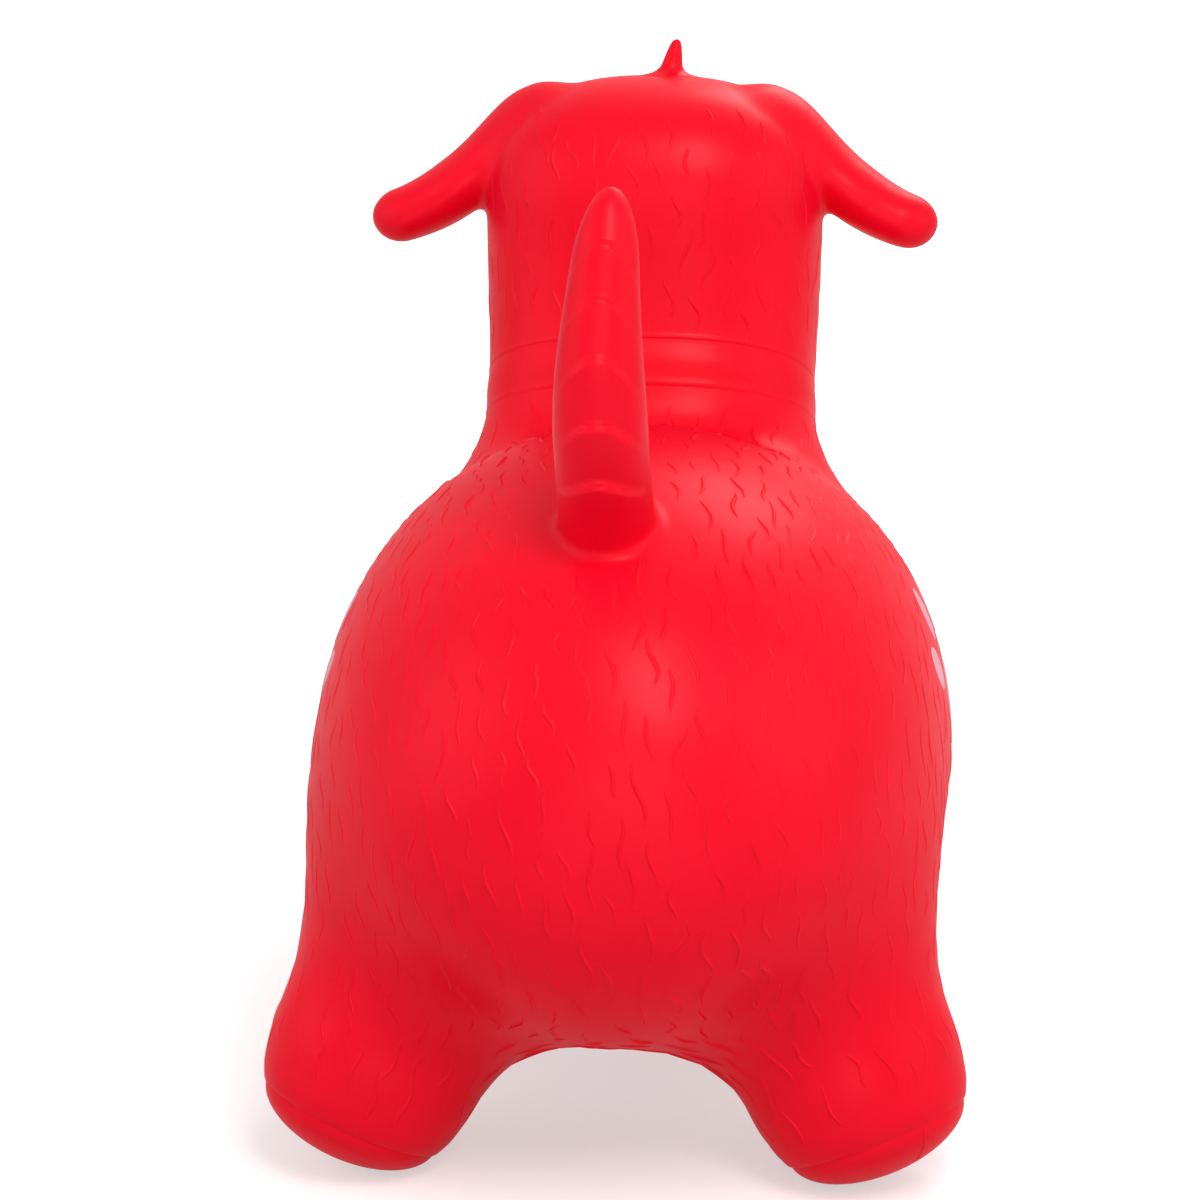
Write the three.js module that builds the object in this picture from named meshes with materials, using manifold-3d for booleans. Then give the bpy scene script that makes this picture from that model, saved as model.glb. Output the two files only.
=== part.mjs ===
// Inflatable hopping dog for a child to sit on: a hollow soft vinyl skin in sections, with printed marks
// and a belly valve. Millimetres, +Z up. The dog faces +Y and +X is its right side. It stands on z = 0,
// with the middle of its whole length and width at the origin.

import * as THREE from 'three';
import { mergeVertices } from 'three/addons/utils/BufferGeometryUtils.js';
import Module from 'manifold-3d';

const wasm = await Module();
wasm.setup();

// Skin
const WALL = 2.2;
const SOLE_WALL = 3.5;
const GAP = 0.3;
const INK = 0.4;

// Torso: a barrel along Y, with y = 0 at its widest place until the whole dog is centred at the end
const BODY_WIDTH = 284;
const RUMP_LENGTH = 222;
const CHEST_LENGTH = 178;
const TORSO_AXIS_HEIGHT = 165;
const BACK_HEIGHT = 312;
const BELLY_HEIGHT = 45;
const BARREL_POWER = 2.3;
const CHEST_TAPER = 0.06;
const SADDLE_DIP = 6;
const SADDLE_PLACE = 20;
const SADDLE_SPREAD = 60;

// Neck, collar and head
const NECK_PLACE = 125;
const NECK_LEAN = 22;
const NECK_WIDTH = 154;
const NECK_DEPTH = 144;
const NECK_SINK = 90;
const COLLAR_RISE = 18;
const COLLAR_WIDTH = 20;
const COLLAR_THICK = 1.6;
const HEAD_WIDTH = 162;
const HEAD_DEPTH = 152;
const HEAD_FORWARD = 19;
const SKULL_RISE = 95;
const DOME_RISE = 61;
const HEAD_POWER = 2.4;

// Muzzle, nose and mouth
const MUZZLE_WIDTH = 108;
const MUZZLE_HEIGHT = 78;
const MUZZLE_REACH = 70;
const MUZZLE_DROP = 36;
const NOSE_WIDTH = 42;
const NOSE_HEIGHT = 28;
const NOSE_DEPTH = 30;
const NOSE_RISE = 20;
const NOSE_SINK = 6;
const NOSE_POWER = 2;
const MOUTH_WIDTH = 60;
const MOUTH_DROP = 8;
const MOUTH_SAG = 12;
const MOUTH_LINE = 3;

// Printed eyes
const EYE_APART = 56;
const EYE_WIDTH = 26;
const EYE_HEIGHT = 34;
const EYE_RISE = 25;
const PUPIL_WIDTH = 14;
const PUPIL_HEIGHT = 19;
const PUPIL_DROP = 3;

// Ears: each centre line runs outwards from the middle of the skull and up or down from it. A share is a
// place along that line, from 0 at the root to 1 at the tip.
const EAR_LINE = [[44, 41], [64, 33], [82, 17], [98, 4], [114, -4], [134, -9]];
const EAR_ROOT_THICK = 40;
const EAR_THICK = 29;
const EAR_TIP_THICK = 25;
const EAR_ROOT_BREADTH = 56;
const EAR_BREADTH = 46;
const EAR_SETBACK = 4;
const EAR_SWEEP = 14;
const EAR_SLIM_SHARE = 0.5;
const EAR_NARROW_SHARE = 0.6;
const EAR_HINGE_SHARE = 0.6;
const EAR_TIP_LENGTH = 14;

// Tail: its centre line runs from a place on the back, inset from the rump's end, forwards and up from it
const TAIL_INSET = 74;
const TAIL_LINE = [[26, -13.3], [0, 15.7], [-17, 41.7], [-23, 71.7], [-19, 104.7], [-9, 138.7]];
const TAIL_ROOT_THICK = 40;
const TAIL_THICK = 37;
const TAIL_TIP_THICK = 27;
const TAIL_SLIM_SHARE = 0.4;
const TAIL_HINGE_SHARE = 0.4;
const TAIL_TIP_LENGTH = 15;
const TAIL_LOCKS = 5;
const LOCK_DEPTH = 2;

// Tuft of hair on the crown
const TUFT_HEIGHT = 16;
const TUFT_ROOT_WIDTH = 19.5;
const TUFT_TIP_WIDTH = 4.5;
const TUFT_LEAN = 2.5;
const TUFT_ASIDE = 6;
const TUFT_PLACE = 12;
const TUFT_SINK = 10;
const TUFT_TIP_LENGTH = 6;

// Legs and feet: a leg's outline gives its radius at each height above the foot ridge, along the leg
const REAR_STANCE = 222;
const FRONT_STANCE = 188;
const REAR_FOOT = -117;
const FRONT_FOOT = 80;
const LEG_LEAN_OUT = 24;
const LEG_LEAN_APART = 14;
const LEG_LINE = [[40, 0], [44.5, 8], [48, 22], [51, 45], [57, 75], [64, 105], [66, 125]];
const FOOT_DEPTH = 20;
const RIDGE_REACH = 2;
const RIDGE_HEIGHT = 3;
const SOLE_FLAT = 1.2;

// Valve in the belly
const VALVE_PLACE = -30;
const SEAT_WIDTH = 34;
const SEAT_NECK = 24;
const SEAT_FLANGE = 3;
const SEAT_HEIGHT = 14;
const PLUG_HEAD_WIDTH = 24;
const PLUG_HEAD_THICK = 3;
const PLUG_CHAMFER = 1;
const PLUG_STEM_WIDTH = 11;
const PLUG_STEM_LENGTH = 16;
const PLUG_TIP_WIDTH = 9;

// Paw print on each flank, pointing backwards and a little up. The pad's outline gives one half of it, from
// its top to its heel, in shares of its width and length.
const PAW_PLACE = -16;
const PAW_HEIGHT = 200;
const PAW_TURN = 84;
const PAD_LENGTH = 36;
const PAD_WIDTH = 46;
const PAD_OUTLINE = [[0, 0.5], [0.3, 0.3], [0.5, -0.2], [0.36, -0.48], [0, -0.36]];
const TOE_COUNT = 4;
const TOE_LENGTH = 25;
const TOE_WIDTH = 18;
const TOE_REACH = 38;
const TOE_SPREAD = 34;

// How finely the round forms are cut
const TORSO_SIDES = 32;
const TORSO_RINGS = 16;
const HEAD_SIDES = 24;
const NECK_RINGS = 3;
const DOME_RINGS = 5;
const MUZZLE_RINGS = 14;
const NOSE_RINGS = 10;
const LEG_SIDES = 18;
const FOOT_RINGS = 4;
const LIMB_SIDES = 12;
const EAR_STEPS = 8;
const LOCK_STEPS = 3;
const TUFT_STEPS = 5;
const TIP_RINGS = 3;
const ROLLER_SIDES = 32;
const SMALL_SIDES = 16;
const OUTLINE_STEPS = 6;
const PAD_STEPS = 28;
const MERGE_DISTANCE = 1e-4;

const ACROSS = new THREE.Vector3(1, 0, 0);
const ALONG = new THREE.Vector3(0, 1, 0);
const UP = new THREE.Vector3(0, 0, 1);
const FAR = BODY_WIDTH + RUMP_LENGTH + CHEST_LENGTH;
const { degToRad, lerp, smoothstep } = THREE.MathUtils;

function power(value, exponent) {
  return Math.sign(value) * Math.abs(value) ** exponent;
}

// A solid from a closed geometry, and a geometry from a solid
function solid(geometry) {
  const bare = geometry.index ? geometry.toNonIndexed() : geometry.clone();
  bare.deleteAttribute('normal');
  bare.deleteAttribute('uv');
  const merged = mergeVertices(bare, MERGE_DISTANCE);
  const triVerts = [];
  for (let i = 0; i < merged.index.count; i += 3) {
    const [a, b, c] = [0, 1, 2].map((k) => merged.index.getX(i + k));
    if (a !== b && b !== c && c !== a) triVerts.push(a, b, c);
  }
  const mesh = new wasm.Mesh({
    numProp: 3,
    vertProperties: new Float32Array(merged.attributes.position.array),
    triVerts: new Uint32Array(triVerts),
  });
  return new wasm.Manifold(mesh);
}

function geometryOf(shape) {
  const mesh = shape.getMesh();
  const geometry = new THREE.BufferGeometry();
  geometry.setAttribute('position', new THREE.BufferAttribute(Float32Array.from(mesh.vertProperties), 3));
  geometry.setIndex(Array.from(mesh.triVerts));
  geometry.computeVertexNormals();
  return geometry;
}

// A lathe of radius 1 about Y between y = -1 and y = 1, blunter at a higher power than 2
function unitEgg(sides, rings, exponent) {
  const profile = [];
  for (let i = 0; i <= rings; i++) {
    const angle = Math.PI * (i / rings - 0.5);
    const radius = i === 0 || i === rings ? 0 : power(Math.cos(angle), 2 / exponent);
    profile.push(new THREE.Vector2(radius, power(Math.sin(angle), 2 / exponent)));
  }
  return new THREE.LatheGeometry(profile, sides);
}

// A closed skin over rings of points that turn left about the way they advance
function loft(rings, first, last) {
  const sides = rings[0].length;
  const points = [first, ...rings.flat(), last];
  const end = points.length - 1;
  const corners = [];
  for (let k = 0; k < sides; k++) {
    const next = (k + 1) % sides;
    corners.push(0, 1 + next, 1 + k);
    for (let i = 0; i < rings.length - 1; i++) {
      const low = 1 + i * sides;
      const high = low + sides;
      corners.push(low + k, low + next, high + k, low + next, high + next, high + k);
    }
    corners.push(end - sides + k, end - sides + next, end);
  }
  return new THREE.BufferGeometry().setFromPoints(points).setIndex(corners);
}

function lathe(profile, sides, direction, place) {
  const geometry = new THREE.LatheGeometry(profile, sides);
  const turn = new THREE.Quaternion().setFromUnitVectors(ALONG, direction);
  return solid(geometry.applyQuaternion(turn).translate(place.x, place.y, place.z));
}

// An outline drawn on two directions and drawn out along the third, from the plane through a place
function prism(outline, right, upward, place) {
  const out = new THREE.Vector3().crossVectors(right, upward);
  const draw = { depth: FAR, bevelEnabled: false, curveSegments: OUTLINE_STEPS };
  const geometry = new THREE.ExtrudeGeometry(outline, draw);
  geometry.applyMatrix4(new THREE.Matrix4().makeBasis(right, upward, out));
  return solid(geometry.translate(place.x, place.y, place.z));
}

// Everything beyond a plane
function beyond(place, direction) {
  const block = new THREE.BoxGeometry(2 * FAR, 2 * FAR, 2 * FAR).translate(0, 0, FAR);
  const turn = new THREE.Quaternion().setFromUnitVectors(UP, direction);
  return solid(block.applyQuaternion(turn).translate(place.x, place.y, place.z));
}

function cutAll(shape, cutters) {
  return cutters.reduce((left, cutter) => left.subtract(cutter), shape);
}

// Torso
const backRise = BACK_HEIGHT - TORSO_AXIS_HEIGHT;
const bellyDrop = TORSO_AXIS_HEIGHT - BELLY_HEIGHT;

// How far the barrel has closed at a place along it, from 1 at the widest to 0 at its ends
function torsoShare(y) {
  const share = Math.abs(y) / (y > 0 ? CHEST_LENGTH : RUMP_LENGTH);
  return (1 - share ** BARREL_POWER) ** (1 / BARREL_POWER);
}

function torsoForm(grow) {
  const egg = unitEgg(TORSO_SIDES, TORSO_RINGS, BARREL_POWER);
  const places = egg.attributes.position;
  for (let i = 0; i < places.count; i++) {
    const share = places.getY(i);
    const chest = share > 0 ? 1 - CHEST_TAPER * share * share : 1;
    const y = share * ((share > 0 ? CHEST_LENGTH : RUMP_LENGTH) + grow);
    const dip = SADDLE_DIP * Math.exp(-(((y - SADDLE_PLACE) / SADDLE_SPREAD) ** 2));
    const rise = places.getZ(i) > 0 ? backRise - dip : bellyDrop;
    const x = places.getX(i) * ((BODY_WIDTH / 2) * chest + grow);
    places.setXYZ(i, x, y, TORSO_AXIS_HEIGHT + places.getZ(i) * (rise + grow));
  }
  return solid(egg);
}

// Neck and head: one leaning column, parted at the collar's middle plane
const neckTop = TORSO_AXIS_HEIGHT + backRise * torsoShare(NECK_PLACE);
const collarPlace = new THREE.Vector3(0, NECK_PLACE, neckTop + COLLAR_RISE);
const neckWay = new THREE.Vector3(0, Math.sin(degToRad(NECK_LEAN)), Math.cos(degToRad(NECK_LEAN)));
const neckBase = collarPlace.clone().addScaledVector(neckWay, -NECK_SINK);
const skull = new THREE.Vector3(0, HEAD_FORWARD, SKULL_RISE).add(collarPlace);

function headRing(middle, lean, halfWidth, halfDepth) {
  const ring = [];
  for (let k = 0; k < HEAD_SIDES; k++) {
    const angle = (2 * Math.PI * k) / HEAD_SIDES;
    const x = halfWidth * power(Math.cos(angle), 2 / HEAD_POWER);
    const forward = halfDepth * power(Math.sin(angle), 2 / HEAD_POWER);
    const tilted = new THREE.Vector3(x, forward * Math.cos(lean), -forward * Math.sin(lean));
    ring.push(tilted.add(middle));
  }
  return ring;
}

function headForm(grow) {
  const rings = [headRing(neckBase, degToRad(NECK_LEAN), NECK_WIDTH / 2 + grow, NECK_DEPTH / 2 + grow)];
  for (let i = 0; i <= NECK_RINGS; i++) {
    const share = i / NECK_RINGS;
    const swell = smoothstep(share, 0, 1);
    const middle = collarPlace.clone().lerp(skull, share);
    const halfWidth = lerp(NECK_WIDTH, HEAD_WIDTH, swell) / 2 + grow;
    const halfDepth = lerp(NECK_DEPTH, HEAD_DEPTH, swell) / 2 + grow;
    rings.push(headRing(middle, degToRad(NECK_LEAN * (1 - swell)), halfWidth, halfDepth));
  }
  for (let i = 1; i < DOME_RINGS; i++) {
    const angle = (Math.PI / 2) * (i / DOME_RINGS);
    const rise = (DOME_RISE + grow) * power(Math.sin(angle), 2 / HEAD_POWER);
    const shrink = power(Math.cos(angle), 2 / HEAD_POWER);
    const middle = skull.clone().addScaledVector(UP, rise);
    rings.push(headRing(middle, 0, (HEAD_WIDTH / 2 + grow) * shrink, (HEAD_DEPTH / 2 + grow) * shrink));
  }
  return solid(loft(rings, neckBase, skull.clone().addScaledVector(UP, DOME_RISE + grow)));
}

function aboveCollar(step) {
  return beyond(collarPlace.clone().addScaledVector(neckWay, step), neckWay);
}

// Muzzle and nose
const muzzlePlace = new THREE.Vector3(0, HEAD_DEPTH / 2, -MUZZLE_DROP).add(skull);
const nosePlace = new THREE.Vector3(0, MUZZLE_REACH - NOSE_SINK, NOSE_RISE).add(muzzlePlace);

function eggForm(middle, halfWidth, halfDepth, halfHeight, rings, exponent) {
  const egg = unitEgg(SMALL_SIDES, rings, exponent).scale(halfWidth, halfDepth, halfHeight);
  return solid(egg.translate(middle.x, middle.y, middle.z));
}

function muzzleForm(grow) {
  const halves = [MUZZLE_WIDTH / 2, MUZZLE_REACH, MUZZLE_HEIGHT / 2];
  return eggForm(muzzlePlace, ...halves.map((half) => half + grow), MUZZLE_RINGS, HEAD_POWER);
}

// A limb swept along a curve, oval across, with a round tip
function limbForm(curve, side, halfBreadth, halfThick, tipLength, steps) {
  const length = curve.getLength();
  const straight = length - tipLength;
  const stations = [];
  for (let i = 0; i < steps; i++) stations.push((straight * i) / steps);
  for (let i = 0; i < TIP_RINGS; i++) {
    stations.push(straight + tipLength * Math.sin((Math.PI / 2) * (i / TIP_RINGS)));
  }
  const rings = stations.map((station) => {
    const share = station / length;
    const intoTip = Math.max(0, (station - straight) / tipLength);
    const close = Math.sqrt(1 - intoTip * intoTip);
    const middle = curve.getPointAt(share);
    const outward = new THREE.Vector3().crossVectors(curve.getTangentAt(share), side).normalize();
    const ring = [];
    for (let k = 0; k < LIMB_SIDES; k++) {
      const angle = (2 * Math.PI * k) / LIMB_SIDES;
      const breadth = close * halfBreadth(share) * Math.cos(angle);
      const thickness = close * halfThick(share, angle) * Math.sin(angle);
      ring.push(middle.clone().addScaledVector(side, breadth).addScaledVector(outward, thickness));
    }
    return ring;
  });
  return solid(loft(rings, curve.getPointAt(0), curve.getPointAt(1)));
}

// The part of a limb that its hinge moves: all beyond the hinge, and a round end about the hinge's axis
function hingeZone(curve, side, share, radius, breadth, grow) {
  const hinge = curve.getPointAt(share);
  const outward = curve.getTangentAt(share);
  const far = beyond(hinge.clone().addScaledVector(outward, -grow), outward);
  const roller = new THREE.CylinderGeometry(radius + grow, radius + grow, 2 * breadth, ROLLER_SIDES);
  const turn = new THREE.Quaternion().setFromUnitVectors(ALONG, side);
  roller.applyQuaternion(turn).translate(hinge.x, hinge.y, hinge.z);
  return far.add(solid(roller));
}

// Ears
function earCurve(hand) {
  const points = EAR_LINE.map(([out, rise], i) => {
    const back = EAR_SETBACK + EAR_SWEEP * (i / (EAR_LINE.length - 1)) ** 2;
    return new THREE.Vector3(hand * out, -back, rise).add(skull);
  });
  return new THREE.CatmullRomCurve3(points);
}

function earHalfThick(share) {
  const root = lerp(EAR_ROOT_THICK, EAR_THICK, smoothstep(share, 0, EAR_SLIM_SHARE));
  return lerp(root, EAR_TIP_THICK, smoothstep(share, EAR_SLIM_SHARE, 1)) / 2;
}

function earForm(hand, grow) {
  const halfBreadth = (share) => {
    return lerp(EAR_ROOT_BREADTH, EAR_BREADTH, smoothstep(share, 0, EAR_NARROW_SHARE)) / 2 + grow;
  };
  const halfThick = (share) => earHalfThick(share) + grow;
  return limbForm(earCurve(hand), ALONG, halfBreadth, halfThick, EAR_TIP_LENGTH, EAR_STEPS);
}

function earZone(hand, grow) {
  const radius = earHalfThick(EAR_HINGE_SHARE) + WALL / 2;
  return hingeZone(earCurve(hand), ALONG, EAR_HINGE_SHARE, radius, EAR_ROOT_BREADTH, grow);
}

// Tail: its rear face is a row of locks, each swelling over the one above
const tailPlace = TAIL_INSET - RUMP_LENGTH;
const tailFoot = new THREE.Vector3(0, tailPlace, TORSO_AXIS_HEIGHT + backRise * torsoShare(tailPlace));
const tailPoints = TAIL_LINE.map(([forward, rise]) => new THREE.Vector3(0, forward, rise).add(tailFoot));
const tailCurve = new THREE.CatmullRomCurve3(tailPoints);

function tailHalfThick(share) {
  const root = lerp(TAIL_ROOT_THICK, TAIL_THICK, smoothstep(share, 0, TAIL_SLIM_SHARE));
  return lerp(root, TAIL_TIP_THICK, smoothstep(share, TAIL_SLIM_SHARE, 1)) / 2;
}

function tailForm(grow) {
  const lock = (share) => LOCK_DEPTH * Math.abs(Math.sin(Math.PI * TAIL_LOCKS * share));
  const halfBreadth = (share) => tailHalfThick(share) + grow;
  const halfThick = (share, angle) => halfBreadth(share) + (Math.sin(angle) < 0 ? lock(share) : 0);
  return limbForm(tailCurve, ACROSS, halfBreadth, halfThick, TAIL_TIP_LENGTH, LOCK_STEPS * TAIL_LOCKS);
}

function tailZone(grow) {
  const radius = tailHalfThick(TAIL_HINGE_SHARE) + LOCK_DEPTH + WALL / 2;
  return hingeZone(tailCurve, ACROSS, TAIL_HINGE_SHARE, radius, TAIL_ROOT_THICK, grow);
}

// Tuft
function tuftForm() {
  const crown = new THREE.Vector3(TUFT_ASIDE, TUFT_PLACE, DOME_RISE).add(skull);
  const offsets = [[0, -TUFT_SINK], [TUFT_LEAN / 3, TUFT_HEIGHT / 3], [TUFT_LEAN, TUFT_HEIGHT]];
  const points = offsets.map(([side, rise]) => new THREE.Vector3(side, 0, rise).add(crown));
  const half = (share) => lerp(TUFT_ROOT_WIDTH, TUFT_TIP_WIDTH, smoothstep(share, 0, 1)) / 2;
  return limbForm(new THREE.CatmullRomCurve3(points), ALONG, half, half, TUFT_TIP_LENGTH, TUFT_STEPS);
}

// Legs and feet: they lean outwards, and away from each other fore and aft
const footRadius = LEG_LINE[0][0];

function legWay(hand, end) {
  const inward = Math.tan(degToRad(LEG_LEAN_OUT));
  const together = Math.tan(degToRad(LEG_LEAN_APART));
  return new THREE.Vector3(-hand * inward, -end * together, 1).normalize();
}

function ridgePlace(hand, end) {
  const rise = legWay(hand, end).z;
  const droop = Math.hypot(footRadius * Math.sqrt(1 - rise * rise), FOOT_DEPTH * rise);
  const stance = end < 0 ? REAR_STANCE : FRONT_STANCE;
  return new THREE.Vector3((hand * stance) / 2, end < 0 ? REAR_FOOT : FRONT_FOOT, droop - SOLE_FLAT);
}

function legForm(hand, end, grow, overrun) {
  const top = LEG_LINE.at(-1)[1];
  const profile = [new THREE.Vector2(0, -overrun)];
  if (overrun > 0) profile.push(new THREE.Vector2(footRadius + grow, -overrun));
  for (const [radius, height] of LEG_LINE) profile.push(new THREE.Vector2(radius + grow, height));
  profile.push(new THREE.Vector2(0, top));
  return lathe(profile, LEG_SIDES, legWay(hand, end), ridgePlace(hand, end));
}

function foot(hand, end) {
  const profile = [];
  const shoulder = Math.asin(RIDGE_HEIGHT / FOOT_DEPTH);
  for (let i = 0; i <= FOOT_RINGS; i++) {
    const angle = lerp(Math.PI / 2, shoulder, i / FOOT_RINGS);
    const radius = i === 0 ? 0 : footRadius * Math.cos(angle);
    profile.push(new THREE.Vector2(radius, -FOOT_DEPTH * Math.sin(angle)));
  }
  profile.push(new THREE.Vector2(footRadius + RIDGE_REACH, -RIDGE_HEIGHT));
  profile.push(new THREE.Vector2(footRadius + RIDGE_REACH, -GAP));
  for (let i = 0; i <= FOOT_RINGS; i++) {
    const angle = lerp(0, Math.PI / 2, i / FOOT_RINGS);
    const radius = i === FOOT_RINGS ? 0 : (footRadius - WALL) * Math.cos(angle);
    profile.push(new THREE.Vector2(radius, -GAP - (FOOT_DEPTH - SOLE_WALL) * Math.sin(angle)));
  }
  const cup = lathe(profile, LEG_SIDES, legWay(hand, end), ridgePlace(hand, end));
  return cup.subtract(beyond(new THREE.Vector3(), UP.clone().negate()));
}

// Valve
const valveHeight = TORSO_AXIS_HEIGHT - bellyDrop * torsoShare(VALVE_PLACE);
const valveFoot = new THREE.Vector3(0, VALVE_PLACE, valveHeight);
const boreRadius = PLUG_STEM_WIDTH / 2 + GAP;

function ringProfile(inner, outer, low, high) {
  const corners = [[inner, low], [outer, low], [outer, high], [inner, high], [inner, low]];
  return corners.map(([radius, height]) => new THREE.Vector2(radius, height));
}

function discProfile(radius, low, high) {
  const corners = [[0, low], [radius, low], [radius, high], [0, high]];
  return corners.map(([across, height]) => new THREE.Vector2(across, height));
}

function valveNeck(grow) {
  return lathe(discProfile(SEAT_NECK / 2 + grow, -SEAT_HEIGHT, SEAT_HEIGHT), SMALL_SIDES, UP, valveFoot);
}

function valveSeat() {
  const profile = ringProfile(boreRadius, SEAT_WIDTH / 2, -SEAT_FLANGE, SEAT_HEIGHT);
  const bush = lathe(profile, SMALL_SIDES, UP, valveFoot);
  const wall = torsoForm(GAP).subtract(torsoForm(-WALL - GAP)).subtract(valveNeck(0));
  return bush.subtract(wall);
}

function valvePlug() {
  const rest = -SEAT_FLANGE - GAP;
  const corners = [
    [0, rest - PLUG_HEAD_THICK],
    [PLUG_HEAD_WIDTH / 2 - PLUG_CHAMFER, rest - PLUG_HEAD_THICK],
    [PLUG_HEAD_WIDTH / 2, rest - PLUG_HEAD_THICK / 2],
    [PLUG_HEAD_WIDTH / 2, rest],
    [PLUG_STEM_WIDTH / 2, rest],
    [PLUG_TIP_WIDTH / 2, rest + PLUG_STEM_LENGTH],
    [0, rest + PLUG_STEM_LENGTH],
  ];
  const profile = corners.map(([radius, height]) => new THREE.Vector2(radius, height));
  return lathe(profile, SMALL_SIDES, UP, valveFoot);
}

// Printed marks: films of ink over a form, inside an outline
function film(form, lift, outline) {
  return form(lift + INK).subtract(form(lift)).intersect(outline);
}

function ovalOutline(middle, width, height, turn) {
  const outline = new THREE.Shape();
  outline.absellipse(middle.x, middle.y, width / 2, height / 2, 0, 2 * Math.PI, false, turn);
  return outline;
}

function flankPrism(hand, outline) {
  return prism(outline, ALONG.clone().multiplyScalar(hand), UP, new THREE.Vector3());
}

// Flat place on a flank, from the paw's middle towards its toes and sideways, seen from outside
function pawPoint(hand, forward, sideways) {
  const turn = degToRad(PAW_TURN);
  const y = PAW_PLACE - forward * Math.sin(turn) - sideways * Math.cos(turn);
  const z = PAW_HEIGHT + forward * Math.cos(turn) - sideways * Math.sin(turn);
  return new THREE.Vector2(hand * y, z);
}

function pawPad(hand) {
  const mirrored = PAD_OUTLINE.slice(1, -1).reverse().map(([sideways, forward]) => [-sideways, forward]);
  const points = [...PAD_OUTLINE, ...mirrored].map(([sideways, forward]) => {
    return pawPoint(hand, forward * PAD_LENGTH, sideways * PAD_WIDTH);
  });
  const ordered = hand > 0 ? points.reverse() : points;
  const edge = new THREE.SplineCurve([...ordered, ordered[0]]).getPoints(PAD_STEPS);
  return film(torsoForm, GAP, flankPrism(hand, new THREE.Shape(edge.slice(0, -1))));
}

function pawToe(hand, index) {
  const angle = degToRad(TOE_SPREAD * (index - (TOE_COUNT - 1) / 2));
  const middle = pawPoint(hand, TOE_REACH * Math.cos(angle), TOE_REACH * Math.sin(angle));
  const heel = pawPoint(hand, 0, 0);
  const turn = Math.atan2(middle.y - heel.y, middle.x - heel.x);
  return film(torsoForm, GAP, flankPrism(hand, ovalOutline(middle, TOE_LENGTH, TOE_WIDTH, turn)));
}

function facePrism(outline, place) {
  return prism(outline, ACROSS.clone().negate(), UP, place);
}

function eyeWhite(hand) {
  const middle = new THREE.Vector2((-hand * EYE_APART) / 2, EYE_RISE);
  const outline = ovalOutline(middle, EYE_WIDTH, EYE_HEIGHT, 0);
  return film(headForm, GAP, facePrism(outline, skull));
}

function eyePupil(hand) {
  const middle = new THREE.Vector2((-hand * EYE_APART) / 2, EYE_RISE - PUPIL_DROP);
  const outline = ovalOutline(middle, PUPIL_WIDTH, PUPIL_HEIGHT, 0);
  return film(headForm, 2 * GAP + INK, facePrism(outline, skull));
}

function mouthLine() {
  const radius = (MOUTH_WIDTH ** 2 / 4 + MOUTH_SAG ** 2) / (2 * MOUTH_SAG);
  const half = Math.asin(MOUTH_WIDTH / 2 / radius);
  const middle = -MOUTH_DROP + radius - MOUTH_SAG;
  const outline = new THREE.Shape();
  outline.absarc(0, middle, radius + MOUTH_LINE / 2, -Math.PI / 2 - half, -Math.PI / 2 + half, false);
  outline.absarc(0, middle, radius - MOUTH_LINE / 2, -Math.PI / 2 + half, -Math.PI / 2 - half, true);
  return film(muzzleForm, GAP, facePrism(outline, muzzlePlace));
}

// Finishes
const RED_VINYL = { color: '#e8112d', roughness: 0.4, metalness: 0 };
const BLACK_VINYL = { color: '#1b1a1c', roughness: 0.3, metalness: 0 };
const PLUG_VINYL = { color: '#f0eee8', roughness: 0.4, metalness: 0 };
const PINK_INK = { color: '#f7c6c4', roughness: 0.5, metalness: 0 };
const WHITE_INK = { color: '#f4f1ec', roughness: 0.4, metalness: 0 };
const BLACK_INK = { color: '#141214', roughness: 0.4, metalness: 0 };

const hopper = new THREE.Group();

function addPiece(name, shape, finish) {
  const mesh = new THREE.Mesh(geometryOf(shape), new THREE.MeshStandardMaterial(finish));
  mesh.name = name;
  hopper.add(mesh);
}

const HANDS = [['left', -1], ['right', 1]];
const ENDS = [['rear', -1], ['front', 1]];
const torsoClear = torsoForm(GAP);
const headClear = headForm(GAP);
const headShell = headForm(0).subtract(headForm(-WALL));

// Skin sections, each cut by the larger ones, with the hollow running on from one to the next
const legHollow = (hand, end) => legForm(hand, end, -WALL, GAP + WALL);
const legHollows = HANDS.flatMap(([, hand]) => ENDS.map(([, end]) => legHollow(hand, end)));
const torsoCuts = [torsoForm(-WALL), headForm(-WALL), tailForm(-WALL), valveNeck(GAP), ...legHollows];
addPiece('torso', cutAll(torsoForm(0), torsoCuts), RED_VINYL);
addPiece('neck', cutAll(headShell, [aboveCollar(-GAP / 2), torsoClear]), RED_VINYL);

const earHollows = HANDS.map(([, hand]) => earForm(hand, -WALL));
const belowCollar = beyond(collarPlace.clone().addScaledVector(neckWay, GAP / 2), neckWay.clone().negate());
addPiece('head', cutAll(headShell, [belowCollar, torsoClear, muzzleForm(-WALL), ...earHollows]), RED_VINYL);

const collarBand = headForm(GAP + COLLAR_THICK).subtract(headClear).subtract(aboveCollar(COLLAR_WIDTH / 2));
addPiece('collar', cutAll(collarBand.intersect(aboveCollar(-COLLAR_WIDTH / 2)), [torsoClear]), RED_VINYL);

addPiece('muzzle', cutAll(muzzleForm(0), [muzzleForm(-WALL), headClear]), RED_VINYL);
const noseHalves = [NOSE_WIDTH / 2, NOSE_DEPTH / 2, NOSE_HEIGHT / 2];
const noseEgg = eggForm(nosePlace, ...noseHalves, NOSE_RINGS, NOSE_POWER);
addPiece('nose', noseEgg.subtract(muzzleForm(GAP)), BLACK_VINYL);
addPiece('mouth_line', mouthLine(), BLACK_INK);
addPiece('head_tuft', tuftForm().subtract(headClear), RED_VINYL);

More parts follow.
